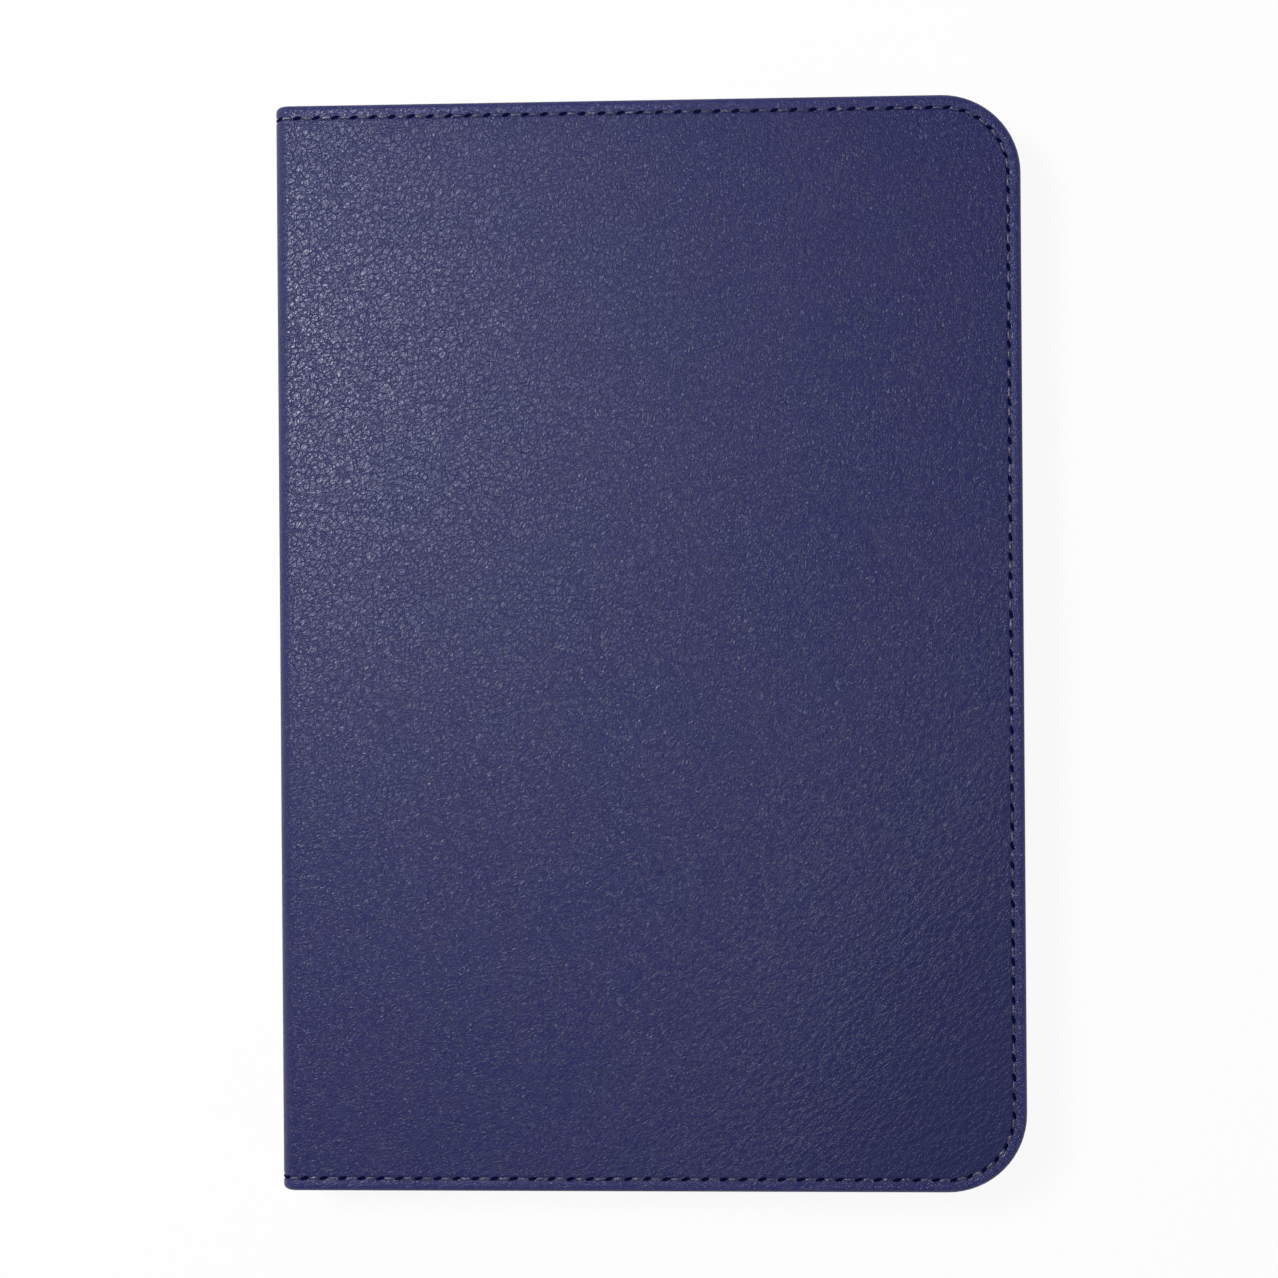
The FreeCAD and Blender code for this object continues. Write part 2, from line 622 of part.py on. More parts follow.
def tray():
    """The hard tray that the tablet snaps into, with lips at its corners and notches in its walls."""
    body = new_body("tablet_tray", x="tray_middle", z="tray_level")
    outer = ("-tray_side", "tray_side", "-tray_end", "tray_end", ("space_corner + tray_wall",) * 4)
    space = ("-space_side", "space_side", "-space_end", "space_end", ("space_corner",) * 4)
    sketch = new_sketch(body, "tray_outline")
    draw_outline(sketch, *outer)
    pad(body, sketch, "tray_floor + tray_depth")
    dress_edges(body, "Fillet", "tray_lower_edge", "tray_edge", lambda box: box.ZMax < TINY)
    sketch = new_sketch(body, "tablet_space", "tray_floor + tray_depth")
    draw_outline(sketch, *space)
    pocket(body, sketch, "tray_depth")
    sketch = new_sketch(body, "tray_lip", "tray_floor + tray_depth")
    draw_outline(sketch, *outer)
    over = ["%s lip_reach" % text for text in ("-space_side +", "space_side -", "-space_end +", "space_end -")]
    draw_outline(sketch, *over, ("space_corner - lip_reach",) * 4)
    pad(body, sketch, "lip_height")
    for name, across, along in (
        ("long_side_gap", "2 * space_side", "2 * (space_end - lip_corner)"),
        ("short_side_gap", "2 * (space_side - lip_corner)", "2 * space_end"),
    ):
        sketch = new_sketch(body, name, "tray_height")
        draw_block(sketch, "0", "0", across, along)
        pocket(body, sketch, "lip_height")
    reach = "2 * tray_wall + 2 * tablet_room"
    notches = [("port_notch", "0", "-tray_end", "port_width", reach)]
    notches.append(("button_notch", "tray_side", "button_place", reach, "button_width"))
    for end in ("-tray_end", "tray_end"):
        for side in ("-speaker_place", "speaker_place"):
            name = "speaker_notch_%d" % len(notches)
            notches.append((name, side, end, "speaker_width", reach))
    for name, across, along, width, length in notches:
        sketch = new_sketch(body, name, "tray_height")
        draw_block(sketch, across, along, width, length)
        pocket(body, sketch, "tray_height - tray_floor - notch_floor")
    cut_camera(body, "tray_floor", "tray_floor")
    corner = ("space_corner - mat_margin",) * 4
    edge = [text + " mat_margin" for text in ("-space_side +", "space_side -", "-space_end +", "space_end -")]
    mat = plate("tray_mat", "tray_floor", "tray_mat", (*edge, corner), x="tray_middle", z="tray_level")
    window = new_sketch(mat, "mat_window", "tray_floor + tray_mat")
    wide = ["%s + 2 * camera_margin" % text for text in ("camera_width", "camera_length")]
    draw_block(window, "camera_across", "camera_along", *wide, "camera_corner + camera_margin")
    pocket(mat, window, "tray_mat")


def stand():
    """The two panels under the tray, the leather that hinges them and the magnets in the prop's foot."""
    right = (None, "stand_corner", "stand_corner", None)
    carrier = ("hinge_place", "fold_place - stand_gap / 2", "-stand_end", "stand_end")
    plate("carrier_panel", "stand_level", "stand_board", carrier)
    hinge = new_body("tray_hinge", x="hinge_place", z="stand_level")
    sketch = new_sketch(hinge, "hinge_section", plane="XZ_Plane")
    radius = value("hinge_leather")
    circle = Part.Circle(vector(), vector(0, 0, 1), radius)
    arc = sketch.addGeometry(Part.ArcOfCircle(circle, math.pi / 2, 1.5 * math.pi))
    line = sketch.addGeometry(Part.LineSegment(vector(0, -radius), vector(0, radius)))
    sketch.addConstraint(Sketcher.Constraint("Coincident", arc, 3, -1, 1))
    sketch.addConstraint(Sketcher.Constraint("Coincident", arc, 2, line, 1))
    sketch.addConstraint(Sketcher.Constraint("Coincident", line, 2, arc, 1))
    sketch.addConstraint(Sketcher.Constraint("PointOnObject", line, 1, -2))
    sketch.addConstraint(Sketcher.Constraint("PointOnObject", line, 2, -2))
    dimension(sketch, "Radius", (arc,), "hinge_leather")
    pad(hinge, sketch, "stand_length", symmetric=True)
    prop = ("fold_place + stand_gap / 2", "foot_place", "-stand_end", "stand_end", right)
    panel = plate("prop_panel", "stand_level", "stand_board - stand_room", prop)
    top = "stand_level + stand_board - stand_room"
    feet = [("foot_place - foot_margin - bar_width / 2", "bar_width", "bar_length", "bar_spread")]
    cut_bars(panel, "foot_slot", top, "bar_height + inlay_room", feet)
    bar_group("prop_magnets", top + " - bar_height - inlay_room", "bar_height", feet)
    strip = ("fold_place - strip_width / 2", "fold_place + strip_width / 2", "-stand_end", "stand_end")
    plate("prop_hinge", "stand_level - strip_height", "strip_height", strip)


def keyboard_body(label):
    """A body that lies keys down on the front cover's lining, so its own +Z points down."""
    return new_body(label, ABOUT_X, x="keyboard_middle", z="keyboard_level")


def keyboard_block(label, level, height, x, y, width, length, corner=None):
    """One block of the keyboard, with a name of its own."""
    body = keyboard_body(label)
    sketch = new_sketch(body, label + "_outline", level)
    draw_block(sketch, x, y, width, length, corner)
    pad(body, sketch, height)
    return body


def cut_block(body, name, level, depth, x, y, width, length, upwards=False):
    """Cut a block out of one of the keyboard's shells."""
    sketch = new_sketch(body, name, level)
    draw_block(sketch, x, y, width, length)
    return pocket(body, sketch, depth, upwards)


def key_row(row):
    """The middle of a row across the keyboard, and the depth of its keys."""
    if row == 0:
        return "-keyboard_side + rear_strip + function_pitch / 2", "function_pitch - key_space"
    first = "-keyboard_side + rear_strip + function_pitch"
    return "%s + %s * key_unit" % (first, row - 0.5), "key_unit - key_space"


def key_places(row=None):
    """For each key or run of like keys: node, row middle, key depth, column middle, key width, count."""
    for label, key_row_number, column, width, count in KEYS:
        if row in (None, key_row_number):
            across, depth = key_row(key_row_number)
            along = "keys_left + %s * key_unit" % (column + width / 2)
            yield label, across, depth, along, "%s * key_unit - key_space" % width, count


def single_keys(row):
    """Every key of one row by itself: row middle, key depth, column middle and key width."""
    for label, across, depth, along, width, count in key_places(row):
        for number in range(count):
            yield across, depth, "%s + %d * key_unit" % (along, number), width


def wall_cuts(body, level, depth_of, upwards):
    """Cut the charge socket's and the power switch's openings into one shell's wall."""
    socket = "socket_width + 2 * inlay_room"
    cut_block(body, body.Label + "_socket", level, depth_of("socket"), "strip_middle",
              "-keyboard_half", socket, "2 * socket_depth", upwards)
    slot = "switch_length + switch_travel + 2 * switch_room"
    cut_block(body, body.Label + "_switch", level, depth_of("switch"), "-keyboard_side",
              "-switch_place + switch_travel / 2", "2 * shell_wall", slot, upwards)


def keyboard_shells():
    """The keyboard's base and the bezel that the keys come through."""
    shell = ("-keyboard_side", "keyboard_side", "-keyboard_half", "keyboard_half", ("keyboard_corner",) * 4)
    inner = [text + " shell_wall" for text in ("-keyboard_side +", "keyboard_side -",
                                               "-keyboard_half +", "keyboard_half -")]
    inner_corner = ("keyboard_corner - shell_wall",) * 4
    base = keyboard_body("keyboard_base")
    sketch = new_sketch(base, "base_outline")
    draw_outline(sketch, *shell)
    pad(base, sketch, "split_level")
    dress_edges(base, "Chamfer", "base_edge", "keyboard_edge", lambda box: box.ZMax < TINY)
    sketch = new_sketch(base, "base_inside", "split_level")
    draw_outline(sketch, *inner, inner_corner)
    pocket(base, sketch, "split_level - base_plate")
    knob_under = "knob_level - switch_height / 2 - switch_room"
    low = {"socket": "split_level - base_plate", "switch": "split_level - (%s)" % knob_under}
    wall_cuts(base, "split_level", low.get, False)
    bezel = keyboard_body("keyboard_bezel")
    sketch = new_sketch(bezel, "bezel_outline", "split_level")
    draw_outline(sketch, *shell)
    pad(bezel, sketch, "bezel_level - split_level")
    top = value("bezel_level") - TINY
    dress_edges(bezel, "Chamfer", "bezel_edge", "keyboard_edge", lambda box: box.ZMin > top)
    sketch = new_sketch(bezel, "bezel_inside", "split_level")
    draw_outline(sketch, *inner, inner_corner)
    pocket(bezel, sketch, "bezel_under - split_level", upwards=True)
    knob_over = "knob_level + switch_height / 2 + switch_room"
    high = {
        "socket": "base_plate + socket_height + inlay_room - split_level",
        "switch": "%s - split_level" % knob_over,
    }
    wall_cuts(bezel, "split_level", high.get, True)
    room = " + 2 * key_clearance"
    for row in range(KEY_ROWS):
        sketch = new_sketch(bezel, "key_openings_%d" % row, "bezel_level")
        for across, depth, along, width in single_keys(row):
            draw_block(sketch, across, along, depth + room, width + room)
        pocket(bezel, sketch, "bezel_plate")
    sketch = new_sketch(bezel, "button_hole", "bezel_level")
    draw_disc(sketch, "strip_middle", "-connect_place", "button_radius + button_room")
    pocket(bezel, sketch, "bezel_plate")
    light = ["%s + 2 * inlay_room" % text for text in ("light_width", "light_length")]
    hole = cut_block(bezel, "light_hole", "bezel_level", "bezel_plate", "strip_middle", "light_place", *light)
    pattern(bezel, hole, "light_count", "light_pitch")


def keyboard_inside():
    """What the keyboard's shells hold: domes, circuit, battery, socket, lights and magnets."""
    sheet = keyboard_body("key_membrane")
    sketch = new_sketch(sheet, "membrane_outline", "base_plate")
    front = "keyboard_side - front_strip"
    rear = "-keyboard_side + rear_strip"
    draw_outline(sketch, rear, front, "keys_left", "-keys_left")
    pad(sheet, sketch, "membrane")
    domes = keyboard_body("key_domes")
    for label, across, depth, along, width, count in key_places():
        sketch = new_sketch(domes, label + "_dome", "dome_level")
        draw_polygon(sketch, across, along, "dome_radius", DOME_SIDES)
        dome = pad(domes, sketch, "dome_height")
        if count > 1:
            pattern(domes, dome, str(count), "key_unit")
    slope_sides(domes, "dome_taper")
    socket_inside = "-keyboard_half + socket_depth"
    socket = keyboard_body("charge_socket")
    sketch = new_sketch(socket, "socket_outline", "base_plate")
    draw_block(sketch, "strip_middle", "-keyboard_half + socket_depth / 2", "socket_width", "socket_depth")
    pad(socket, sketch, "socket_height")
    mouth = new_sketch(socket, "socket_mouth", "keyboard_half", "XZ_Plane")
    draw_outline(
        mouth,
        "strip_middle - socket_width / 2 + socket_skin",
        "strip_middle + socket_width / 2 - socket_skin",
        "base_plate + socket_skin",
        "base_plate + socket_height - socket_skin",
    )
    pocket(socket, mouth, "socket_depth - 2 * socket_skin")
    circuit = "%s + circuit_length / 2" % socket_inside
    keyboard_block("circuit_board", "base_plate", "circuit_height", "strip_middle", circuit,
                   "circuit_width", "circuit_length")
    keyboard_block("battery", "base_plate", "battery_height", "strip_middle", "0",
                   "battery_width", "battery_length", "battery_corner")
    lights = keyboard_body("status_lights")
    sketch = new_sketch(lights, "light_outline", "bezel_under")
    draw_block(sketch, "strip_middle", "light_place", "light_width", "light_length")
    pattern(lights, pad(lights, sketch, "bezel_plate"), "light_count", "light_pitch")
    magnets = keyboard_body("keyboard_magnets")
    for number, across in enumerate(("-grip_front", "grip_front")):
        sketch = new_sketch(magnets, "grip_%d" % number, "base_plate")
        draw_block(sketch, across, "-grip_spread / 2", "grip_width", "grip_length")
        pattern(magnets, pad(magnets, sketch, "grip_height"), "2", "grip_spread")
    bumpers = keyboard_body("screen_bumpers")
    for number, across in enumerate(("-keyboard_side + bumper_edge", "keyboard_side - bumper_edge")):
        sketch = new_sketch(bumpers, "bumper_%d" % number, "bezel_level")
        draw_block(sketch, across, "-keyboard_half + bumper_end", "bumper_width", "bumper_length")
        bumper = pad(bumpers, sketch, "key_rise + bumper_lift")
        pattern(bumpers, bumper, "2", "keyboard_length - 2 * bumper_end")


def keyboard_controls():
    """The power switch in the rear wall and the connect button in the bezel."""
    switch = keyboard_body("power_switch")
    sketch = new_sketch(switch, "switch_block", "circuit_top + inlay_room")
    inside = "-keyboard_side + shell_wall + inlay_room"
    block_end = ["-switch_place %s switch_block / 2" % sign for sign in "-+"]
    draw_outline(sketch, inside, inside + " + switch_depth", *block_end)
    pad(switch, sketch, "bezel_under - circuit_top - 2 * inlay_room")
    sketch = new_sketch(switch, "switch_knob", "knob_level - switch_height / 2")
    knob_end = ["-switch_place %s switch_length / 2" % sign for sign in "-+"]
    draw_outline(sketch, "-keyboard_side - switch_rise", inside + " + switch_depth", *knob_end)
    pad(switch, sketch, "switch_height")
    button = keyboard_body("connect_button")
    stages = [
        ("button_stem", "circuit_top + button_flange", "bezel_under - inlay_room", "button_stem"),
        ("button_flange", "bezel_under - button_flange", "bezel_under - inlay_room",
         "button_radius + button_flange"),
        ("button_cap", "bezel_under - inlay_room", "bezel_level + button_rise", "button_radius"),
    ]
    for name, low, high, radius in stages:
        sketch = new_sketch(button, name, low)
        draw_disc(sketch, "strip_middle", "-connect_place", radius)
        pad(button, sketch, "%s - (%s)" % (high, low))


def keys():
    """Every key: a tapered cap on a flange that the bezel holds. Like keys of one row share a node."""
    wider = " + 2 * key_flange"
    for label, across, depth, along, width, count in key_places():
        body = keyboard_body(label)
        sketch = new_sketch(body, label + "_flange", "key_level")
        draw_block(sketch, across, along, depth + wider, width + wider)
        pad(body, sketch, "flange_height")
        sketch = new_sketch(body, label + "_cap", "key_level + flange_height")
        draw_block(sketch, across, along, depth, width, "key_corner", bevelled=True)
        pad(body, sketch, "key_height - flange_height")
        cap = slope_sides(body, "key_taper")
        if count > 1:
            pattern(body, cap, str(count), "key_unit", whole=True)


def check(bodies):
    """Stop unless every object is sound."""
    for item in document.Objects:
        if "Invalid" in item.State or "Error" in item.State:
            raise RuntimeError("%s failed: %s" % (item.Name, item.State))
    for body in bodies:
        if body.Shape.isNull() or not body.Shape.isValid() or not body.Shape.Solids:
            raise RuntimeError(body.Label + " has no sound solid")


def main():
    """Build the case and write one file for each sub-part."""
    fill_sheets()
    back_half()
    fold("rear_fold", UPRIGHT, "fold_radius")
    spine()
    fold("front_fold", ABOUT_X, "case_height - fold_radius")
    front_half()
    tray()
    stand()
    keyboard_shells()
    keyboard_inside()
    keyboard_controls()
    keys()
    document.recompute()
    bodies = [item for item in document.Objects if item.TypeId == "PartDesign::Body"]
    check(bodies)
    os.makedirs("parts", exist_ok=True)
    for body in bodies:
        body.Shape.exportStep(os.path.join("parts", body.Label + ".step"))
        print(body.Label, len(body.Shape.Solids), round(body.Shape.Volume, 1))


main()
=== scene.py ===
import json
import math
from contextlib import contextmanager

import bmesh
import bpy
from bpy.props import FloatProperty, FloatVectorProperty, IntProperty, PointerProperty
from mathutils import Matrix, Vector


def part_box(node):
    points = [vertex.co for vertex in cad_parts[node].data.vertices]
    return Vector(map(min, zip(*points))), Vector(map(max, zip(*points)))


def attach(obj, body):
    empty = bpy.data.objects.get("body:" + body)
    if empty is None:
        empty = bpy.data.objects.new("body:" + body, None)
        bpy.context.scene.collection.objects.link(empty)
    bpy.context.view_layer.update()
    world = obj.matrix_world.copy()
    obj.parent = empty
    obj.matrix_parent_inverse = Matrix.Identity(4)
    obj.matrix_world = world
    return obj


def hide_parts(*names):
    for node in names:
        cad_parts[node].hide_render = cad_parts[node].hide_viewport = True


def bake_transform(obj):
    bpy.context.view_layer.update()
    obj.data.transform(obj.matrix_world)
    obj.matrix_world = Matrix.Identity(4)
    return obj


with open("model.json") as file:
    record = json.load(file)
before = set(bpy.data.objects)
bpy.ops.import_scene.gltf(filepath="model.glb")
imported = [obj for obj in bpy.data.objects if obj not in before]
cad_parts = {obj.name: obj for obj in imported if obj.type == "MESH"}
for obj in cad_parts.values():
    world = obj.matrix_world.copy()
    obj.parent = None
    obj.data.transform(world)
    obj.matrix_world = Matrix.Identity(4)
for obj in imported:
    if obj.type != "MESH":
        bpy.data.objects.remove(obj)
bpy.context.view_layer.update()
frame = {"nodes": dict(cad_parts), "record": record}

bl_info = {
    "name": "Tablet Keyboard Case",
    "version": (1, 0, 0),
    "blender": (4, 5, 0),
    "location": "3D View > Sidebar > Case",
    "description": "Builds the looks of a grained leather tablet case with a keyboard inside",
    "category": "Add Mesh",
}

MM = 0.001
NEAR = 2e-5

# Places taken from the frame
COVER_LOW, COVER_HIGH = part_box("front_leather")
LINING_LOW, LINING_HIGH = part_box("front_lining")
BOARD_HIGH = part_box("front_board")[1]
SPINE_LOW, SPINE_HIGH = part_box("spine_leather")
STRIP_LOW, STRIP_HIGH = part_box("prop_hinge")
ROLL_LOW, ROLL_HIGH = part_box("tray_hinge")
FOLD_RADIUS = COVER_LOW.x - SPINE_LOW.x
FOLD_CENTRE = Vector((COVER_LOW.x, 0, SPINE_HIGH.z))
CASE_MIDDLE = (SPINE_LOW.z + SPINE_HIGH.z) / 2
COVER_RIM = COVER_HIGH.x - LINING_HIGH.x
LEATHER = COVER_HIGH.z - BOARD_HIGH.z
BODY_OF = {node: body for body, nodes in frame["record"]["behaviour"]["bodies"].items() for node in nodes}

# Key legends, from the left of each node's row as a typist sees it
LEGENDS = {
    "function_keys": ["esc"] + ["F%d" % number for number in range(1, 13)] + ["del"],
    "number_keys": list("1234567890-="),
    "backspace_key": ["back"],
    "tab_key": ["tab"],
    "upper_letter_keys": list("QWERTYUIOP["),
    "bracket_key": ["]"],
    "caps_lock_key": ["caps"],
    "home_letter_keys": list("ASDFGHJKL;"),
    "enter_key": ["enter"],
    "left_shift_key": ["shift"],
    "lower_letter_keys": list("ZXCVBNM,./"),
    "up_arrow_key": ["^"],
    "right_shift_key": ["shift"],
    "fn_key": ["fn"],
    "control_key": ["ctrl"],
    "option_key": ["alt"],
    "left_command_key": ["cmd"],
    "space_bar": [""],
    "right_command_key": ["cmd"],
    "left_arrow_key": ["<"],
    "down_arrow_key": ["v"],
    "right_arrow_key": [">"],
}

# A legend reads along -Y, its top points to -X, and it faces -Z, because the closed keyboard lies keys down
READING = Matrix(((0, -1, 0, 0), (-1, 0, 0, 0), (0, 0, -1, 0), (0, 0, 0, 1)))

# Edges of thin pieces
FINE_EDGE = 0.1 * MM

# Leather: its grain, the painted shade in its creases, the painted highlight on the border outside the
# seam, and the free corner where hands have pressed the grain flat and where shade is painted
GRAIN_LIE = math.radians(42)
GRAIN_STRETCH = (1.3, 0.82, 1.0)
WIDE_CREASE = 0.12
FINE_CREASE = 0.2
WIDE_HEIGHT = 0.6
FINE_HEIGHT = 0.32
WRINKLE_HEIGHT = 0.5
# painted shade: how far the colour of the creases is darkened
CREASE_SHADE_SHARE = 0.55
# painted highlight: width over which the lighter border fades in outside the seam
BORDER_HIGHLIGHT_FADE = 1 * MM
# free corner: the grain is pressed flat there, and painted shade darkens its colour
HANDLED_AND_SHADE_FROM = 20 * MM
HANDLED_AND_SHADE_TO = 100 * MM
HANDLED_AND_SHADE_STRETCH = 0.6
# painted shade: share of the darker colour over the free corner
CORNER_SHADE_SHARE = 0.75
PRESSED_SHARE = 0.6

# Stage: light, floor and a camera at the photograph's viewing angle
SOFTBOX = {"place": (-0.31, 0.18, 0.72), "size": (0.2, 0.2), "power": 6.4}
FILL = {"place": (1.2, -0.8, 0.95), "size": (0.9, 0.9), "power": 2.5}
SKY_LIGHT = 0.08
BACKDROP_TOP = (0.4, 0.75)
FLOOR_SIZE = 8
FLOOR_DROP = 0.3 * MM
FLOOR_GLOW = 0.93
CAMERA_PLACE = (0.0181, 0.0021, 0.5223)
CAMERA_TURN = (-0.07, 2.33, -0.41)
LENS = 60
SENSOR = 36


def length(name, description, millimetres):
    """A size in millimetres as a property."""
    return FloatProperty(name=name, description=description, default=millimetres * MM, min=0,
                         unit="LENGTH", precision=5)


def colour(name, description, red, green, blue):
    """A colour as a property, in linear values."""
    return FloatVectorProperty(name=name, description=description, default=(red, green, blue),
                               subtype="COLOR", size=3, min=0, max=1)


class CaseSizes(bpy.types.PropertyGroup):
    """Sizes of the finish."""

    cover_corner: length("Cover corner", "Radius of the cover's free corners", 18.5)
    cover_edge: length("Cover edge", "Round of the cover's outer edge", 1.25)
    rim_edge: length("Rim edge", "Round of the cover's inner edge", 0.45)
    stitch_inset: length("Stitch inset", "Edge of the cover to the row of stitches", 3.1)
    stitch_pitch: length("Stitch pitch", "From one stitch to the next", 4.5)
    seam_width: length("Seam width", "Width of the groove that the stitches pull into the leather", 1.9)
    seam_depth: length("Seam depth", "Depth of that groove", 0.24)
    thread_width: length("Thread width", "Width of a stitch", 0.8)
    hole_length: length("Hole length", "Length of a needle hole", 2.1)
    hole_width: length("Hole width", "Width of a needle hole", 0.9)
    grain: length("Grain", "Size of a pebble in the leather", 1.4)
    stand_edge: length("Stand edge", "Round of the stand panels", 0.4)
    moulded_edge: length("Moulded edge", "Round of the moulded edges", 0.22)
    key_flange: length("Key flange", "How far a key's flange reaches past its cap", 0.7)
    flange_height: length("Flange height", "Thickness of a key's flange", 0.6)
    key_corner: length("Key corner", "Radius of a key's corners", 1.5)
    key_edge: length("Key edge", "Round of a key's top", 0.4)
    key_lean: length("Key lean", "How far each side of a key leans in", 0.2)
    key_dish: length("Key dish", "Depth of the hollow in a key's top", 0.12)
    legend: length("Legend", "Height of a letter", 4.6)
    small_legend: length("Small legend", "Height of a word on a key", 3.0)
    corner_gather: FloatProperty(
        name="Corner gather",
        description="How much closer the stitches come round a corner",
        default=1.2,
        min=1,
    )
    corner_steps: IntProperty(name="Corner steps", description="Facets round a corner", default=16, min=4)
    fold_steps: IntProperty(name="Fold steps", description="Facets round a fold", default=10, min=4)


class CaseColours(bpy.types.PropertyGroup):
    """Colours of the finish."""

    leather: colour("Leather", "Grained outer leather", 0.0130, 0.0185, 0.104)
    leather_warm: colour("Warm leather", "Leather where it turns to violet", 0.0185, 0.0168, 0.106)
    # painted highlight: lighter colour of the rounded border outside the seam
    leather_border_highlight: colour("Border highlight leather", "Painted highlight on the border outside the seam", 0.0200, 0.0226, 0.130)
    # painted shade: darker colour of the free corner, where less light falls
    leather_corner_shade: colour("Corner shade leather", "Painted shade over the free corner", 0.0180, 0.0208, 0.083)
    # painted shade: colour of the creases, darker where shade would fall in them
    crease: colour("Crease", "Painted shade in the creases of the grain", 0.006, 0.007, 0.042)
    thread: colour("Thread", "Stitches", 0.016, 0.018, 0.062)
    # painted shade: near black colour of the needle holes
    hole: colour("Hole", "Needle holes", 0.0030, 0.0035, 0.026)
    lining: colour("Lining", "Brushed lining", 0.030, 0.033, 0.060)
    stand: colour("Stand", "Smooth leather of the stand", 0.018, 0.019, 0.062)
    tray: colour("Tray", "Moulded tray", 0.016, 0.016, 0.018)
    shell: colour("Shell", "Keyboard shells", 0.013, 0.013, 0.015)
    cap: colour("Key cap", "Keys", 0.010, 0.010, 0.011)
    print: colour("Legend", "Print on the keys", 0.62, 0.63, 0.65)
    silicone: colour("Silicone", "Bumpers and domes", 0.045, 0.045, 0.048)
    metal: colour("Metal", "Charge socket", 0.56, 0.56, 0.58)
    magnet: colour("Magnet", "Plated magnets", 0.16, 0.16, 0.175)
    board: colour("Board", "Stiffening board", 0.36, 0.33, 0.29)
    film: colour("Film", "Contact sheet", 0.55, 0.58, 0.60)
    circuit: colour("Circuit", "Circuit board", 0.012, 0.085, 0.035)
    pouch: colour("Pouch", "Battery", 0.52, 0.52, 0.54)
    light: colour("Light", "Light pipes", 0.62, 0.66, 0.63)
    floor: colour("Floor", "Floor under the case", 0.90, 0.90, 0.90)


def sizes():
    """The sizes in use."""
    return bpy.context.scene.case_sizes


def colours():
    """The colours in use."""
    return bpy.context.scene.case_colours


# Modelling


def select_only(piece):
    """Make one object the only selected one."""
    bpy.ops.object.select_all(action="DESELECT")
    piece.select_set(True)
    bpy.context.view_layer.objects.active = piece


@contextmanager
def editing(piece, kind):
    """Edit mode on one object, with nothing selected in it."""
    select_only(piece)
    bpy.ops.object.mode_set(mode="EDIT")
    bpy.ops.mesh.select_mode(type=kind)
    bpy.ops.mesh.select_all(action="DESELECT")
    yield
    bpy.ops.object.mode_set(mode="OBJECT")


def pick(piece, domain, test):
    """Select the faces or edges of the edited object that pass a test, and nothing else."""
    bpy.ops.mesh.select_all(action="DESELECT")
    edited = bmesh.from_edit_mesh(piece.data)
    for item in getattr(edited, domain):
        if test(item):
            item.select_set(True)
    edited.select_flush_mode()
    bmesh.update_edit_mesh(piece.data)


def at(number, place):
    """Whether a coordinate lies at a place."""
    return abs(number - place) < NEAR


def edge_at(axis, place):
    """A test for edges that lie wholly at one place along an axis."""
    return lambda edge: all(at(vertex.co[axis], place) for vertex in edge.verts)


def face_to(axis, sign, place):
    """A test for flat faces that look along an axis at one place."""
    return lambda face: face.normal[axis] * sign > 0.9 and all(at(v.co[axis], place) for v in face.verts)


def add_block(name, low, high):
    """A block between two corners, as a start."""
    bpy.ops.object.select_all(action="DESELECT")
    bpy.ops.mesh.primitive_cube_add(size=1, location=(low + high) / 2)
    block = bpy.context.object
    block.name = name
    block.data.name = name
    block.scale = high - low
    bpy.ops.object.transform_apply(location=True, rotation=True, scale=True)
    return block


def bevel(amount, steps):
    """Round the selected edges."""
    bpy.ops.mesh.bevel(offset=amount, segments=steps, profile=0.5, affect="EDGES", clamp_overlap=False)


def extrude(direction):
    """Pull the selection out along a direction."""
    bpy.ops.mesh.extrude_region_move(TRANSFORM_OT_translate={"value": direction})


def apply_modifier(piece, kind, **settings):
    """Add a modifier and apply it."""
    modifier = piece.modifiers.new(kind.lower(), kind)
    for name, setting in settings.items():
        setattr(modifier, name, setting)
    select_only(piece)
    bpy.ops.object.modifier_apply(modifier=modifier.name)


def cut_away(piece, cutter):
    """Cut one object's shape out of another."""
    apply_modifier(piece, "BOOLEAN", operation="DIFFERENCE", solver="EXACT", object=cutter)
    bpy.data.objects.remove(cutter)


def smooth(piece, degrees=35):
    """Shade a finished piece smooth, with flat faces kept flat."""
    with editing(piece, "FACE"):
        bpy.ops.mesh.select_all(action="SELECT")
        bpy.ops.mesh.normals_make_consistent(inside=False)
    select_only(piece)
    bpy.ops.object.shade_smooth_by_angle(angle=math.radians(degrees))
    apply_modifier(piece, "WEIGHTED_NORMAL", keep_sharp=True)


def paint(piece, material):
    """Give a piece its finish."""
    piece.data.materials.clear()
    piece.data.materials.append(material)


def turn_over(piece):
    """Turn a piece of the front cover over, into its place on the back."""
    select_only(piece)
    piece.rotation_euler.x = math.pi
    piece.location.z = 2 * CASE_MIDDLE
    bpy.ops.object.transform_apply(location=True, rotation=True, scale=True)


def round_free_corners(piece, radius):
    """Round the two upright edges at the free side."""
    right = max(vertex.co.x for vertex in piece.data.vertices)
    with editing(piece, "EDGE"):
        pick(piece, "edges", lambda edge: edge_at(0, right)(edge) and at(*[v.co.y for v in edge.verts]))
        bevel(radius, sizes().corner_steps)


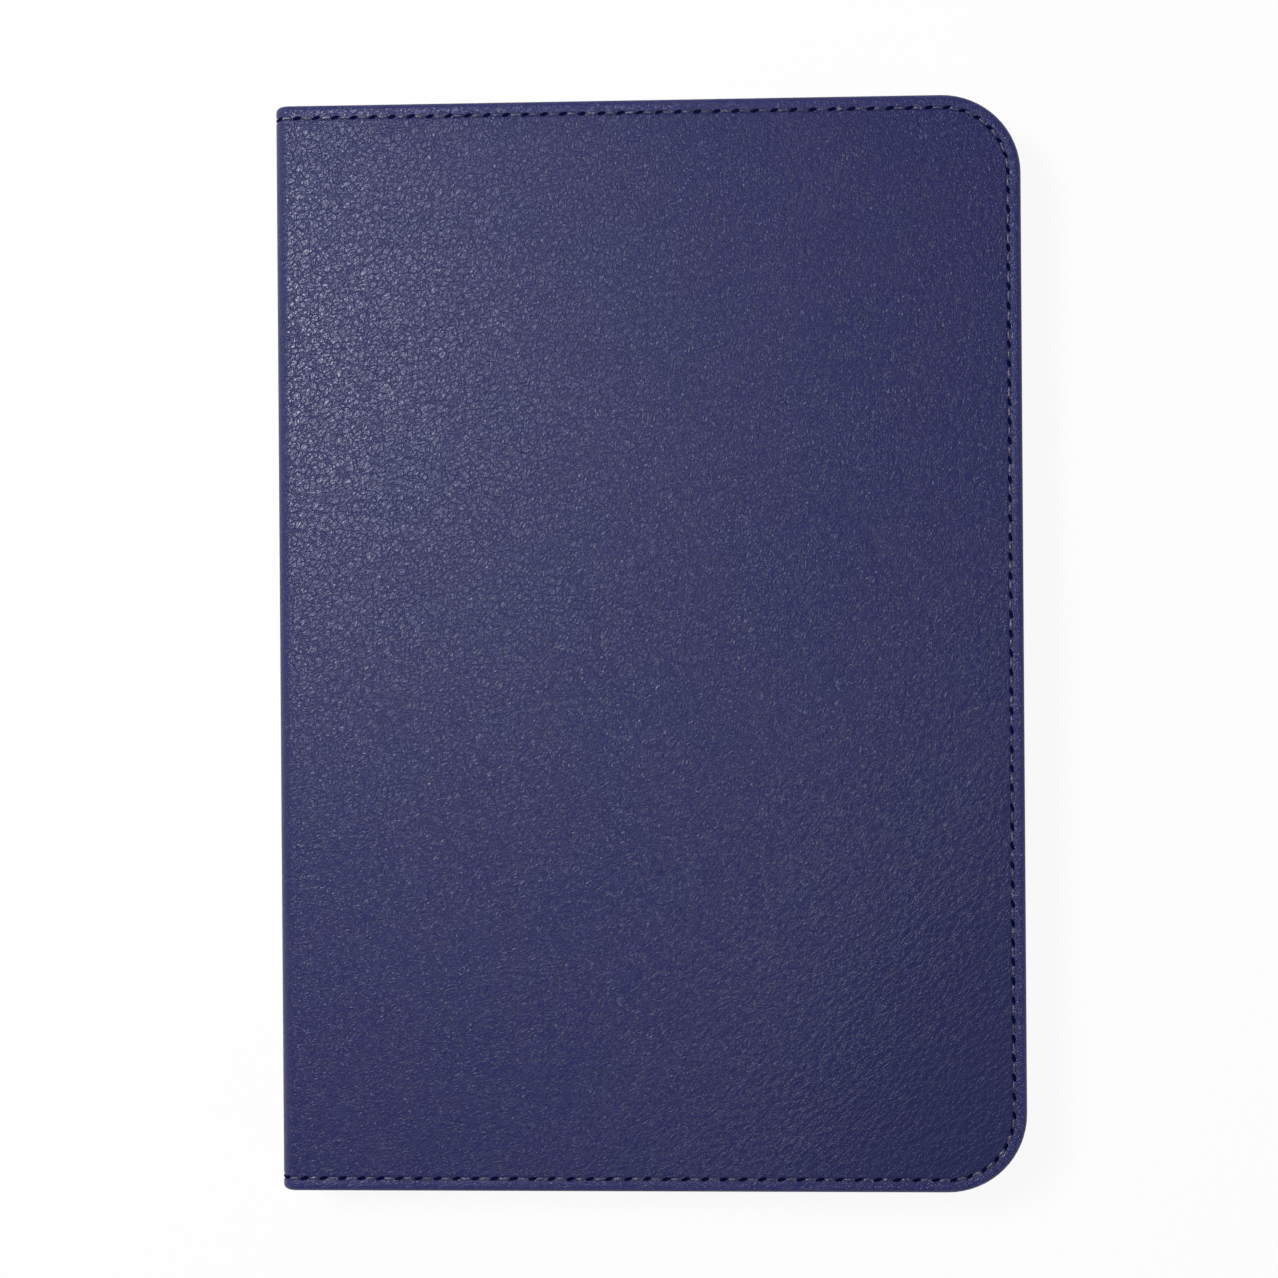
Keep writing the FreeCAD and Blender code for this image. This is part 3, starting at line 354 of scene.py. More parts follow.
def wrap_fold(piece):
    """Carry the open left side round the fold and down to the middle of the spine, and close it there."""
    with editing(piece, "EDGE"):
        bpy.ops.mesh.select_all(action="SELECT")
        bpy.ops.mesh.bisect(plane_co=(COVER_LOW.x + FOLD_RADIUS, 0, 0), plane_no=(1, 0, 0))
        pick(piece, "edges", lambda edge: edge_at(0, COVER_LOW.x)(edge) and edge.is_boundary)
        bpy.ops.mesh.spin(steps=sizes().fold_steps, angle=math.pi / 2, center=FOLD_CENTRE, axis=(0, 1, 0))
        extrude((0, 0, CASE_MIDDLE - FOLD_CENTRE.z))
        bpy.ops.mesh.edge_face_add()


def open_left(piece):
    """Take away the face at the fold."""
    pick(piece, "faces", face_to(0, -1, COVER_LOW.x))
    bpy.ops.mesh.delete(type="ONLY_FACE")


def blend_front(piece, depth=0.0):
    """Bake the transform of a piece of the front cover into its mesh; it is not bent across the fold, and
    depth is not used.
    """
    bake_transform(piece)


def blend_rear(piece, depth=0.0):
    """Bake the transform of a piece of the back cover into its mesh; it is not bent across the fold, and
    depth is not used.
    """
    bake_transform(piece)


def window_cutter():
    """A block through the camera window of the back cover, where the CAD leather has it."""
    border = 6 * MM
    roundness = 0.94
    points = [vertex.co for vertex in frame["nodes"]["back_leather"].data.vertices]
    inner = [p for p in points if 0 < p.x < COVER_HIGH.x - border and 0 < p.y < COVER_HIGH.y - border]
    low = Vector(min(p[axis] for p in inner) for axis in range(3))
    high = Vector(max(p[axis] for p in inner) for axis in range(3))
    past = Vector((0, 0, MM))
    cutter = add_block("window", low - past, high + past * 4)
    with editing(cutter, "EDGE"):
        pick(cutter, "edges", lambda edge: abs(edge.verts[0].co.z - edge.verts[1].co.z) > MM)
        bevel((high.x - low.x) / 2 * roundness, steps=8)
    return cutter


def copies(name, template, places):
    """One mesh of many copies of a small shape."""
    gathered = bmesh.new()
    for place in places:
        mesh = template.data.copy()
        mesh.transform(place)
        gathered.from_mesh(mesh)
        bpy.data.meshes.remove(mesh)
    mesh = bpy.data.meshes.new(name)
    gathered.to_mesh(mesh)
    gathered.free()
    piece = bpy.data.objects.new(name, mesh)
    bpy.context.scene.collection.objects.link(piece)
    return piece


def eased(node, amount, steps=2, degrees=40):
    """A copy of a node with its edges eased, which stands for it."""
    piece = bpy.data.objects.new(node + "_finish", frame["nodes"][node].data.copy())
    bpy.context.scene.collection.objects.link(piece)
    with editing(piece, "VERT"):
        bpy.ops.mesh.select_all(action="SELECT")
        bpy.ops.mesh.customdata_custom_splitnormals_clear()
        bpy.ops.mesh.remove_doubles(threshold=NEAR / 10)
        bpy.ops.mesh.dissolve_limited(angle_limit=math.radians(0.5))
    apply_modifier(piece, "BEVEL", width=amount, segments=steps, limit_method="ANGLE",
                   angle_limit=math.radians(degrees))
    smooth(piece, degrees)
    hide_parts(node)
    return piece


# Materials


def add_node(tree, kind, **settings):
    """A node with its settings."""
    made = tree.nodes.new(kind)
    for name, setting in settings.items():
        setattr(made, name, setting)
    return made


def feed(tree, target, source):
    """Set an input to a number, or link it to an output."""
    if isinstance(source, bpy.types.NodeSocket):
        tree.links.new(source, target)
    else:
        target.default_value = source


def reckon(tree, operation, first, second=0.0, third=0.0):
    """The output of a math node."""
    made = add_node(tree, "ShaderNodeMath", operation=operation)
    for target, source in zip(made.inputs, (first, second, third)):
        feed(tree, target, source)
    return made.outputs[0]


def reckon_vector(tree, operation, first, second):
    """The output of a vector math node."""
    made = add_node(tree, "ShaderNodeVectorMath", operation=operation)
    for target, source in zip(made.inputs, (first, second)):
        feed(tree, target, source)
    return made.outputs[0]


def spread(tree, source, low, high, to_low=0.0, to_high=1.0):
    """A smooth step from one range to another."""
    made = add_node(tree, "ShaderNodeMapRange", interpolation_type="SMOOTHSTEP")
    for target, value in zip(made.inputs, (source, low, high, to_low, to_high)):
        feed(tree, target, value)
    return made.outputs[0]


def mix_colours(tree, factor, first, second):
    """The output of a colour mix."""
    made = add_node(tree, "ShaderNodeMix", data_type="RGBA")
    feed(tree, made.inputs["Factor"], factor)
    for target, source in ((made.inputs[6], first), (made.inputs[7], second)):
        if isinstance(source, bpy.types.NodeSocket):
            tree.links.new(source, target)
        else:
            target.default_value = (*source, 1)
    return made.outputs[2]


def noise(tree, vector, scale, detail=2.0, roughness=0.5):
    """The value of a noise texture."""
    made = add_node(tree, "ShaderNodeTexNoise")
    feed(tree, made.inputs["Vector"], vector)
    feed(tree, made.inputs["Scale"], scale)
    made.inputs["Detail"].default_value = detail
    made.inputs["Roughness"].default_value = roughness
    return made


def cells(tree, vector, scale):
    """Distance to the nearest crease between cells."""
    made = add_node(tree, "ShaderNodeTexVoronoi", feature="DISTANCE_TO_EDGE")
    feed(tree, made.inputs["Vector"], vector)
    feed(tree, made.inputs["Scale"], scale)
    return made.outputs["Distance"]


def new_group(name, inputs, outputs):
    """An empty node group with its sockets."""
    group = bpy.data.node_groups.new(name, "ShaderNodeTree")
    kinds = {"Vector": "NodeSocketVector"}
    for socket in inputs:
        kind = kinds.get(socket, "NodeSocketFloat")
        group.interface.new_socket(name=socket, in_out="INPUT", socket_type=kind)
    for socket in outputs:
        group.interface.new_socket(name=socket, in_out="OUTPUT", socket_type="NodeSocketFloat")
    return group, add_node(group, "NodeGroupInput").outputs, add_node(group, "NodeGroupOutput").inputs


def pebble_grain():
    """Wrinkled leather: pebbles with creases between them, fine wrinkles on those, and large clouds."""
    found = bpy.data.node_groups.get("pebble_grain")
    if found:
        return found
    group, given, result = new_group("pebble_grain", ("Vector", "Scale"), ("Height", "Crease", "Cloud"))
    lie = add_node(group, "ShaderNodeMapping", vector_type="TEXTURE")
    group.links.new(given["Vector"], lie.inputs["Vector"])
    lie.inputs["Rotation"].default_value = (0, 0, GRAIN_LIE)
    lie.inputs["Scale"].default_value = GRAIN_STRETCH

    def finer(times):
        return reckon(group, "MULTIPLY", given["Scale"], times)

    warp = noise(group, lie.outputs[0], finer(0.8)).outputs["Color"]
    warp = reckon_vector(group, "SUBTRACT", warp, (0.5, 0.5, 0.5))
    warp = reckon_vector(group, "MULTIPLY", warp, reckon(group, "DIVIDE", 1.4, given["Scale"]))
    bent = reckon_vector(group, "ADD", lie.outputs[0], warp)
    wide = spread(group, cells(group, bent, given["Scale"]), 0.0, WIDE_CREASE)
    fine = spread(group, cells(group, bent, finer(2.4)), 0.0, FINE_CREASE)
    wrinkle = noise(group, bent, finer(2.2)).outputs["Fac"]
    height = reckon(group, "MULTIPLY", wide, WIDE_HEIGHT)
    height = reckon(group, "MULTIPLY_ADD", fine, FINE_HEIGHT, height)
    height = reckon(group, "MULTIPLY_ADD", wrinkle, WRINKLE_HEIGHT, height)
    group.links.new(height, result["Height"])
    crease = reckon(group, "MULTIPLY", wide, reckon(group, "MULTIPLY_ADD", fine, 0.4, 0.6))
    group.links.new(reckon(group, "SUBTRACT", 1.0, crease), result["Crease"])
    cloud = noise(group, given["Vector"], scale=34.0, detail=3.0).outputs["Fac"]
    group.links.new(spread(group, cloud, 0.35, 0.65), result["Cloud"])
    return group


def moulded_grain():
    """The fine spark texture of moulded plastic, and faint handling marks."""
    found = bpy.data.node_groups.get("moulded_grain")
    if found:
        return found
    group, given, result = new_group("moulded_grain", ("Vector", "Scale"), ("Height", "Marks"))
    spark = noise(group, given["Vector"], given["Scale"], detail=3.0, roughness=0.6).outputs["Fac"]
    group.links.new(spark, result["Height"])
    marks = noise(group, given["Vector"], scale=55.0, detail=4.0, roughness=0.65).outputs["Fac"]
    group.links.new(spread(group, marks, 0.4, 0.7), result["Marks"])
    return group


def brushed_nap():
    """The nap of a brushed cloth: short fibres with soft patches where it was stroked."""
    found = bpy.data.node_groups.get("brushed_nap")
    if found:
        return found
    group, given, result = new_group("brushed_nap", ("Vector", "Scale"), ("Height", "Stroke"))
    stretched = reckon_vector(group, "MULTIPLY", given["Vector"], (1.0, 0.35, 1.0))
    fibre = noise(group, stretched, given["Scale"], detail=4.0, roughness=0.7).outputs["Fac"]
    group.links.new(fibre, result["Height"])
    patch = noise(group, given["Vector"], scale=40.0, detail=3.0, roughness=0.6).outputs["Fac"]
    group.links.new(spread(group, patch, 0.35, 0.65), result["Stroke"])
    return group


def start_material(name, group, scale):
    """A material with its surface shader and one pattern group on object coordinates."""
    material = bpy.data.materials.new(name)
    material.use_nodes = True
    tree = material.node_tree
    surface = tree.nodes["Principled BSDF"]
    place = add_node(tree, "ShaderNodeTexCoord")
    pattern = add_node(tree, "ShaderNodeGroup", node_tree=group)
    tree.links.new(place.outputs["Object"], pattern.inputs["Vector"])
    pattern.inputs["Scale"].default_value = scale
    return material, tree, surface, pattern.outputs


def emboss(tree, surface, height, strength, distance):
    """Raise a pattern from the surface."""
    bump = add_node(tree, "ShaderNodeBump")
    bump.inputs["Strength"].default_value = strength
    bump.inputs["Distance"].default_value = distance
    tree.links.new(height, bump.inputs["Height"])
    tree.links.new(bump.outputs["Normal"], surface.inputs["Normal"])


def roughen(tree, surface, mask, base, change):
    """Link the roughness to a mask: a base, and a change where the mask is full."""
    tree.links.new(reckon(tree, "MULTIPLY_ADD", mask, change, base), surface.inputs["Roughness"])


def cover_light_and_wear(tree):
    """Masks of the border outside the seam, which gets a painted highlight, and of the smooth free corner
    that a hand opens, where the grain is pressed flat and shade is painted.
    """
    size = sizes()
    spot = add_node(tree, "ShaderNodeSeparateXYZ")
    tree.links.new(add_node(tree, "ShaderNodeTexCoord").outputs["Object"], spot.inputs[0])
    across, along = spot.outputs["X"], spot.outputs["Y"]

    def distance(first, second):
        square = reckon(tree, "MULTIPLY", second, second)
        return reckon(tree, "SQRT", reckon(tree, "MULTIPLY_ADD", first, first, square))

    hub_x = reckon(tree, "SUBTRACT", across, COVER_HIGH.x - size.cover_corner)
    hub_y = reckon(tree, "SUBTRACT", reckon(tree, "ABSOLUTE", along), COVER_HIGH.y - size.cover_corner)
    reach = distance(reckon(tree, "MAXIMUM", hub_x, 0.0), reckon(tree, "MAXIMUM", hub_y, 0.0))
    seam = size.cover_corner - size.stitch_inset
    # painted highlight: mask of the border outside the seam
    border = spread(tree, reach, seam, seam + BORDER_HIGHLIGHT_FADE)
    from_edge = reckon(tree, "SUBTRACT", COVER_HIGH.x, across)
    from_end = reckon(tree, "MULTIPLY", reckon(tree, "SUBTRACT", along, COVER_LOW.y), HANDLED_AND_SHADE_STRETCH)
    # mask of the free corner: it flattens the grain and carries the painted shade
    handled_and_shade = spread(tree, distance(from_edge, from_end), HANDLED_AND_SHADE_FROM, HANDLED_AND_SHADE_TO, 1.0, 0.0)
    return border, reckon(tree, "MULTIPLY", handled_and_shade, reckon(tree, "SUBTRACT", 1.0, border))


def leather_material():
    """Pebble grained navy leather."""
    found = bpy.data.materials.get("pebbled_leather")
    if found:
        return found
    material, tree, surface, grain = start_material("pebbled_leather", pebble_grain(), 1 / sizes().grain)
    tone = mix_colours(tree, grain["Cloud"], colours().leather, colours().leather_warm)
    border, handled_and_shade = cover_light_and_wear(tree)
    # painted highlight: the border outside the seam is lighter
    tone = mix_colours(tree, border, tone, colours().leather_border_highlight)
    # painted shade: the creases of the grain are darkened
    crease_shade = reckon(tree, "MULTIPLY", grain["Crease"], CREASE_SHADE_SHARE)
    tone = mix_colours(tree, crease_shade, tone, colours().crease)
    # painted shade: the free corner is darker
    painted_corner_shade = reckon(tree, "MULTIPLY", handled_and_shade, CORNER_SHADE_SHARE)
    tone = mix_colours(tree, painted_corner_shade, tone, colours().leather_corner_shade)
    tree.links.new(tone, surface.inputs["Base Color"])
    roughen(tree, surface, grain["Crease"], base=0.3, change=0.15)
    surface.inputs["Specular IOR Level"].default_value = 0.34
    pressed = reckon(tree, "MULTIPLY_ADD", handled_and_shade, -PRESSED_SHARE, 1.0)
    height = reckon(tree, "MULTIPLY", grain["Height"], pressed)
    emboss(tree, surface, height, strength=1.0, distance=0.11 * MM)
    return material


def smooth_leather():
    """Thin smooth leather of the stand."""
    found = bpy.data.materials.get("smooth_leather")
    if found:
        return found
    fine_grain = 0.6 * sizes().grain
    material, tree, surface, grain = start_material("smooth_leather", pebble_grain(), 1 / fine_grain)
    tone = mix_colours(tree, grain["Cloud"], colours().stand, colours().leather)
    # painted shade: the creases of the stand's leather are darkened
    stand_crease_shade = reckon(tree, "MULTIPLY", grain["Crease"], 0.35)
    tree.links.new(mix_colours(tree, stand_crease_shade, tone, colours().crease), surface.inputs["Base Color"])
    roughen(tree, surface, grain["Crease"], base=0.5, change=0.15)
    emboss(tree, surface, grain["Height"], strength=0.25, distance=0.1 * MM)
    return material


def cloth_material(name, shade, stroke, scale=9000.0):
    """Brushed cloth in a named colour, darker where it was stroked."""
    found = bpy.data.materials.get(name)
    if found:
        return found
    material, tree, surface, nap = start_material(name, brushed_nap(), scale)
    plain = list(getattr(colours(), shade))
    dark = [part * stroke for part in plain]
    light = [min(1.0, part * 1.5) for part in plain]
    tone = mix_colours(tree, nap["Stroke"], plain, dark)
    fleck = reckon(tree, "MULTIPLY", spread(tree, nap["Height"], 0.35, 0.65), 0.5)
    tree.links.new(mix_colours(tree, fleck, tone, light), surface.inputs["Base Color"])
    roughen(tree, surface, nap["Stroke"], base=0.82, change=0.1)
    surface.inputs["Sheen Weight"].default_value = 0.25
    surface.inputs["Sheen Roughness"].default_value = 0.4
    emboss(tree, surface, nap["Height"], strength=0.5, distance=0.12 * MM)
    return material


def moulded_material(name, shade, roughness, scale=5200.0, metallic=0.0, relief=0.04 * MM, gloss=0.5):
    """Moulded, stamped or printed stuff in a named colour, with a fine texture."""
    found = bpy.data.materials.get(name)
    if found:
        return found
    material, tree, surface, grain = start_material(name, moulded_grain(), scale)
    plain = list(getattr(colours(), shade))
    marked = [min(1.0, part * 1.14 + 0.001) for part in plain]
    tree.links.new(mix_colours(tree, grain["Marks"], plain, marked), surface.inputs["Base Color"])
    roughen(tree, surface, grain["Marks"], base=roughness, change=-0.04)
    surface.inputs["Metallic"].default_value = metallic
    surface.inputs["Specular IOR Level"].default_value = gloss
    emboss(tree, surface, grain["Height"], strength=0.35, distance=relief)
    return material


def metal_material(name, shade, roughness):
    """Stamped or plated metal."""
    return moulded_material(name, shade, roughness, scale=7000.0, metallic=1.0, relief=0.02 * MM)


def silicone_material():
    """Soft silicone of the bumpers and domes."""
    return moulded_material("soft_silicone", "silicone", roughness=0.62, scale=2600.0)


def thread_material():
    """Navy sewing thread, with a painted highlight of pale glint specks."""
    found = bpy.data.materials.get("thread")
    if found:
        return found
    material, tree, surface, grain = start_material("thread", moulded_grain(), 1700.0)
    # painted highlight: pale specks stand for the glints on the thread
    glint_colour = [part * 2.0 + 0.13 for part in colours().thread]
    glint_specks = spread(tree, grain["Height"], 0.52, 0.64)
    tree.links.new(mix_colours(tree, glint_specks, colours().thread, glint_colour), surface.inputs["Base Color"])
    surface.inputs["Roughness"].default_value = 0.38
    emboss(tree, surface, grain["Height"], strength=0.8, distance=0.12 * MM)
    return material


# The seam


def seam_path(depth):
    """Straight and round stretches of the seam: length, and a place for a distance along it."""
    inset = sizes().stitch_inset
    corner = sizes().cover_corner
    end = COVER_HIGH.y - inset
    top = COVER_HIGH.z - depth
    reach = FOLD_RADIUS - depth
    bend = corner - inset
    hub_x = COVER_HIGH.x - corner
    hub_y = COVER_HIGH.y - corner
    left = SPINE_LOW.x + depth
    rise = FOLD_CENTRE.z - CASE_MIDDLE
    run = hub_x - COVER_LOW.x
    turn = math.pi / 2
    arc = bend * turn * sizes().corner_gather
    up, right = Vector((0, 0, 1)), Vector((1, 0, 0))

    def spine_up(d):
        return Vector((left, end, CASE_MIDDLE + d)), up, -right

    def fold_over(d):
        angle = d / reach
        out = Vector((-math.cos(angle), 0, math.sin(angle)))
        return Vector((COVER_LOW.x, end, FOLD_CENTRE.z)) + out * reach, Vector((out.z, 0, -out.x)), out

    def along_top(d):
        return Vector((COVER_LOW.x + d, end, top)), right, up

    def round_corner(d):
        angle = d / arc * turn
        out = Vector((math.sin(angle), math.cos(angle), 0))
        return Vector((hub_x, hub_y, top)) + out * bend, Vector((out.y, -out.x, 0)), up

    def along_side(d):
        return Vector((COVER_HIGH.x - inset, hub_y - d, top)), Vector((0, -1, 0)), up

    def mirrored(place, span):
        def back(d):
            point, ahead, out = place(span - d)
            flip = Vector((1, -1, 1))
            return point * flip, -(ahead * flip), out * flip

        return back

    first = [(rise, spine_up), (reach * turn, fold_over), (run, along_top), (arc, round_corner)]
    last = [(span, mirrored(place, span)) for span, place in reversed(first)]
    return first + [(2 * hub_y, along_side)] + last


def seam_places(path, pitch, offset):
    """Where each stitch sits and how it is turned, evenly along the path."""
    total = sum(span for span, place in path)
    count = round(total / pitch)
    places = []
    for number in range(count):
        distance = (number + offset) * total / count
        for span, place in path:
            if distance <= span:
                break
            distance -= span
        point, ahead, out = place(distance)
        side = out.cross(ahead)
        turned = Matrix((ahead, side, out)).transposed().to_4x4()
        places.append(Matrix.Translation(point) @ turned)
    return places


def add_bead(name, long, wide, tall, segments, rings):
    """A small long bead at the origin, lying along X, with drawn-in ends."""
    bpy.ops.object.select_all(action="DESELECT")
    bpy.ops.mesh.primitive_uv_sphere_add(segments=segments, ring_count=rings, radius=0.5)
    bead = bpy.context.object
    bead.name = name
    bead.rotation_euler.y = math.pi / 2
    bpy.ops.object.transform_apply(rotation=True)
    bead.scale = (long, wide, tall)
    bpy.ops.object.transform_apply(scale=True)
    bpy.ops.object.shade_smooth()
    return bead


# Operators


class CASE_OT_outer_leather(bpy.types.Operator):
    """Grained leather over both covers, their folds and the spine."""

    bl_idname = "case.outer_leather"
    bl_label = "Outer leather"

    def skin(self, name):
        size = sizes()
        piece = add_block(name, COVER_LOW, COVER_HIGH)
        round_free_corners(piece, size.cover_corner)
        low = Vector((COVER_LOW.x - COVER_RIM, COVER_LOW.y + COVER_RIM, COVER_LOW.z - COVER_RIM))
        high = Vector((COVER_HIGH.x - COVER_RIM, COVER_HIGH.y - COVER_RIM, COVER_HIGH.z - LEATHER))
        cutter = add_block("hollow", low, high)
        round_free_corners(cutter, size.cover_corner - COVER_RIM)
        cut_away(piece, cutter)
        middle = (COVER_LOW + COVER_HIGH) / 2

        def outer(edge):
            spot = (edge.verts[0].co + edge.verts[1].co) / 2 - middle
            upright = [face.normal for face in edge.link_faces if abs(face.normal.z) < 0.1]
            return any(normal.dot(spot) > 0 and normal.x > -0.5 for normal in upright)

        with editing(piece, "EDGE"):
            pick(piece, "edges", lambda edge: edge_at(2, COVER_HIGH.z)(edge) and outer(edge))
            bevel(size.cover_edge, steps=7)
            pick(piece, "edges", lambda edge: edge_at(2, COVER_LOW.z)(edge) and outer(edge))
            bevel(size.rim_edge, steps=3)
        with editing(piece, "FACE"):
            open_left(piece)
            pick(piece, "faces", face_to(2, 1, COVER_HIGH.z))
            border = size.stitch_inset - size.cover_edge - size.seam_width / 2
            bpy.ops.mesh.inset(thickness=border, use_boundary=False)
            slope = size.seam_width / 4
            bpy.ops.mesh.inset(thickness=slope, depth=-size.seam_depth, use_boundary=False)
            bpy.ops.mesh.inset(thickness=2 * slope, use_boundary=False)
            bpy.ops.mesh.inset(thickness=slope, depth=size.seam_depth, use_boundary=False)
        wrap_fold(piece)
        return piece

    def execute(self, context):
        front = self.skin("front_leather_skin")
        smooth(front)
        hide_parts("front_leather", "front_fold", "spine_leather")
        rear = self.skin("rear_leather_skin")
        turn_over(rear)
        cut_away(rear, window_cutter())
        smooth(rear)
        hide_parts("back_leather", "rear_fold", "spine_leather")
        for piece in (front, rear):
            paint(piece, leather_material())
        blend_front(front)
        blend_rear(rear)
        return {"FINISHED"}


class CASE_OT_stitching(bpy.types.Operator):
    """A row of stitches along the covers' edges, over the folds and the ends of the spine."""

    bl_idname = "case.stitching"
    bl_label = "Stitching"

    def execute(self, context):
        size = sizes()
        path = seam_path(size.seam_depth)
        gap = size.stitch_pitch - size.hole_length
        thread_length = gap * 1.05
        thread_height = size.thread_width * 0.75
        hole_height = 0.16 * MM
        hole_slant = math.radians(14)
        thread = add_bead("thread", thread_length, size.thread_width, thread_height, segments=8, rings=8)
        # a flat dark bead stands for each needle hole: painted shade where the hole is
        hole = add_bead("hole", size.hole_length, size.hole_width, hole_height, segments=10, rings=6)
        hole.rotation_euler.z = hole_slant
        bpy.ops.object.transform_apply(rotation=True)
        # painted shade: the finish of the needle holes
        dark = moulded_material("needle_hole", "hole", roughness=0.9, gloss=0.0)
        shapes = (
            ("stitches", thread, 0.0, thread_material()),
            ("needle_holes", hole, 0.5, dark),
        )
        for name, template, offset, material in shapes:
            for side, settle in (("front", blend_front), ("rear", blend_rear)):
                places = seam_places(path, size.stitch_pitch, offset)
                piece = copies("%s_%s" % (side, name), template, places)
                if side == "rear":
                    turn_over(piece)
                select_only(piece)
                bpy.ops.object.shade_smooth()
                paint(piece, material)
                settle(piece)
            bpy.data.objects.remove(template)
        return {"FINISHED"}


class CASE_OT_linings(bpy.types.Operator):
    """Brushed lining inside both covers, carried round the folds and over the spine."""

    bl_idname = "case.linings"
    bl_label = "Linings"

    def sheet(self, name):
        piece = add_block(name, LINING_LOW, LINING_HIGH)
        round_free_corners(piece, sizes().cover_corner - COVER_HIGH.x + LINING_HIGH.x)
        with editing(piece, "FACE"):
            open_left(piece)
        wrap_fold(piece)
        return piece

    def flat(self):
        depth = COVER_HIGH.z - (LINING_LOW.z + LINING_HIGH.z) / 2
        round_fold = (FOLD_RADIUS - depth) * math.pi / 2
        half_spine = FOLD_CENTRE.z - CASE_MIDDLE
        return LINING_HIGH.x - COVER_LOW.x + round_fold + half_spine, LINING_HIGH.y - LINING_LOW.y

    def execute(self, context):
        front = self.sheet("front_lining_sheet")
        rear = self.sheet("rear_lining_sheet")
        turn_over(rear)
        cut_away(rear, window_cutter())
        material = cloth_material("brushed_lining", "lining", stroke=0.82)
        for piece in (front, rear):
            smooth(piece)
            paint(piece, material)
        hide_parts("front_lining", "spine_lining")
        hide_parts("back_lining", "spine_lining")
        depth = COVER_HIGH.z - LINING_LOW.z
        blend_front(front, depth)
        blend_rear(rear, depth)
        return {"FINISHED"}


class CASE_OT_stand(bpy.types.Operator):
    """The stand's two panels, the tab they hang on and the leather that hinges them."""

    bl_idname = "case.stand"
    bl_label = "Stand"

    def execute(self, context):
        size = sizes()
        for node in ("stand_tab", "carrier_panel", "prop_panel"):
            panel = eased(node, size.stand_edge if node != "stand_tab" else size.stand_edge / 3)
            paint(panel, smooth_leather())
            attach(panel, BODY_OF[node])
        roll = eased("tray_hinge", FINE_EDGE / 2)
        paint(roll, smooth_leather())
        middle = (ROLL_LOW + ROLL_HIGH) / 2
        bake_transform(roll)
        strip = eased("prop_hinge", FINE_EDGE)
        middle = (STRIP_LOW + STRIP_HIGH) / 2
        bend = 1.2 * MM
        cuts = 8
        with editing(strip, "FACE"):
            for number in range(cuts + 1):
                bpy.ops.mesh.select_all(action="SELECT")
                across = middle.x - bend + 2 * bend * number / cuts
                bpy.ops.mesh.bisect(plane_co=(across, 0, 0), plane_no=(1, 0, 0))
        paint(strip, smooth_leather())
        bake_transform(strip)
        return {"FINISHED"}


class CASE_OT_tray(bpy.types.Operator):
    """The moulded tray and its soft mat."""

    bl_idname = "case.tray"
    bl_label = "Tray"

    def execute(self, context):
        shell = eased("tablet_tray", sizes().moulded_edge)
        paint(shell, moulded_material("moulded_tray", "tray", roughness=0.48))
        mat = eased("tray_mat", FINE_EDGE)
        paint(mat, cloth_material("brushed_mat", "lining", stroke=0.8))
        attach(shell, "tray")
        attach(mat, "tray")
        return {"FINISHED"}


class CASE_OT_keyboard(bpy.types.Operator):
    """The keyboard's shells, bumpers, lights, socket and controls."""

    bl_idname = "case.keyboard"
    bl_label = "Keyboard"

    def execute(self, context):
        size = sizes()
        shell = moulded_material("moulded_shell", "shell", roughness=0.46)
        metal = metal_material("stamped_metal", "metal", roughness=0.34)
        light = moulded_material("clear_light_pipe", "light", roughness=0.2)
        control = moulded_material("moulded_control", "cap", roughness=0.42)
        pieces = (
            ("keyboard_base", size.moulded_edge, shell, "keyboard_shell"),
            ("keyboard_bezel", size.moulded_edge * 0.7, shell, "keyboard_shell"),
            ("screen_bumpers", size.moulded_edge * 2, silicone_material(), "silicone"),
            ("status_lights", FINE_EDGE, light, "light_pipe"),
            ("charge_socket", 0.8 * FINE_EDGE, metal, "socket_metal"),
            ("power_switch", 1.5 * FINE_EDGE, control, "control"),
            ("connect_button", 1.5 * FINE_EDGE, control, "control"),
        )
        for node, edge, material, slot in pieces:
            piece = eased(node, edge, steps=3)
            paint(piece, material)
            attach(piece, BODY_OF[node])
        return {"FINISHED"}


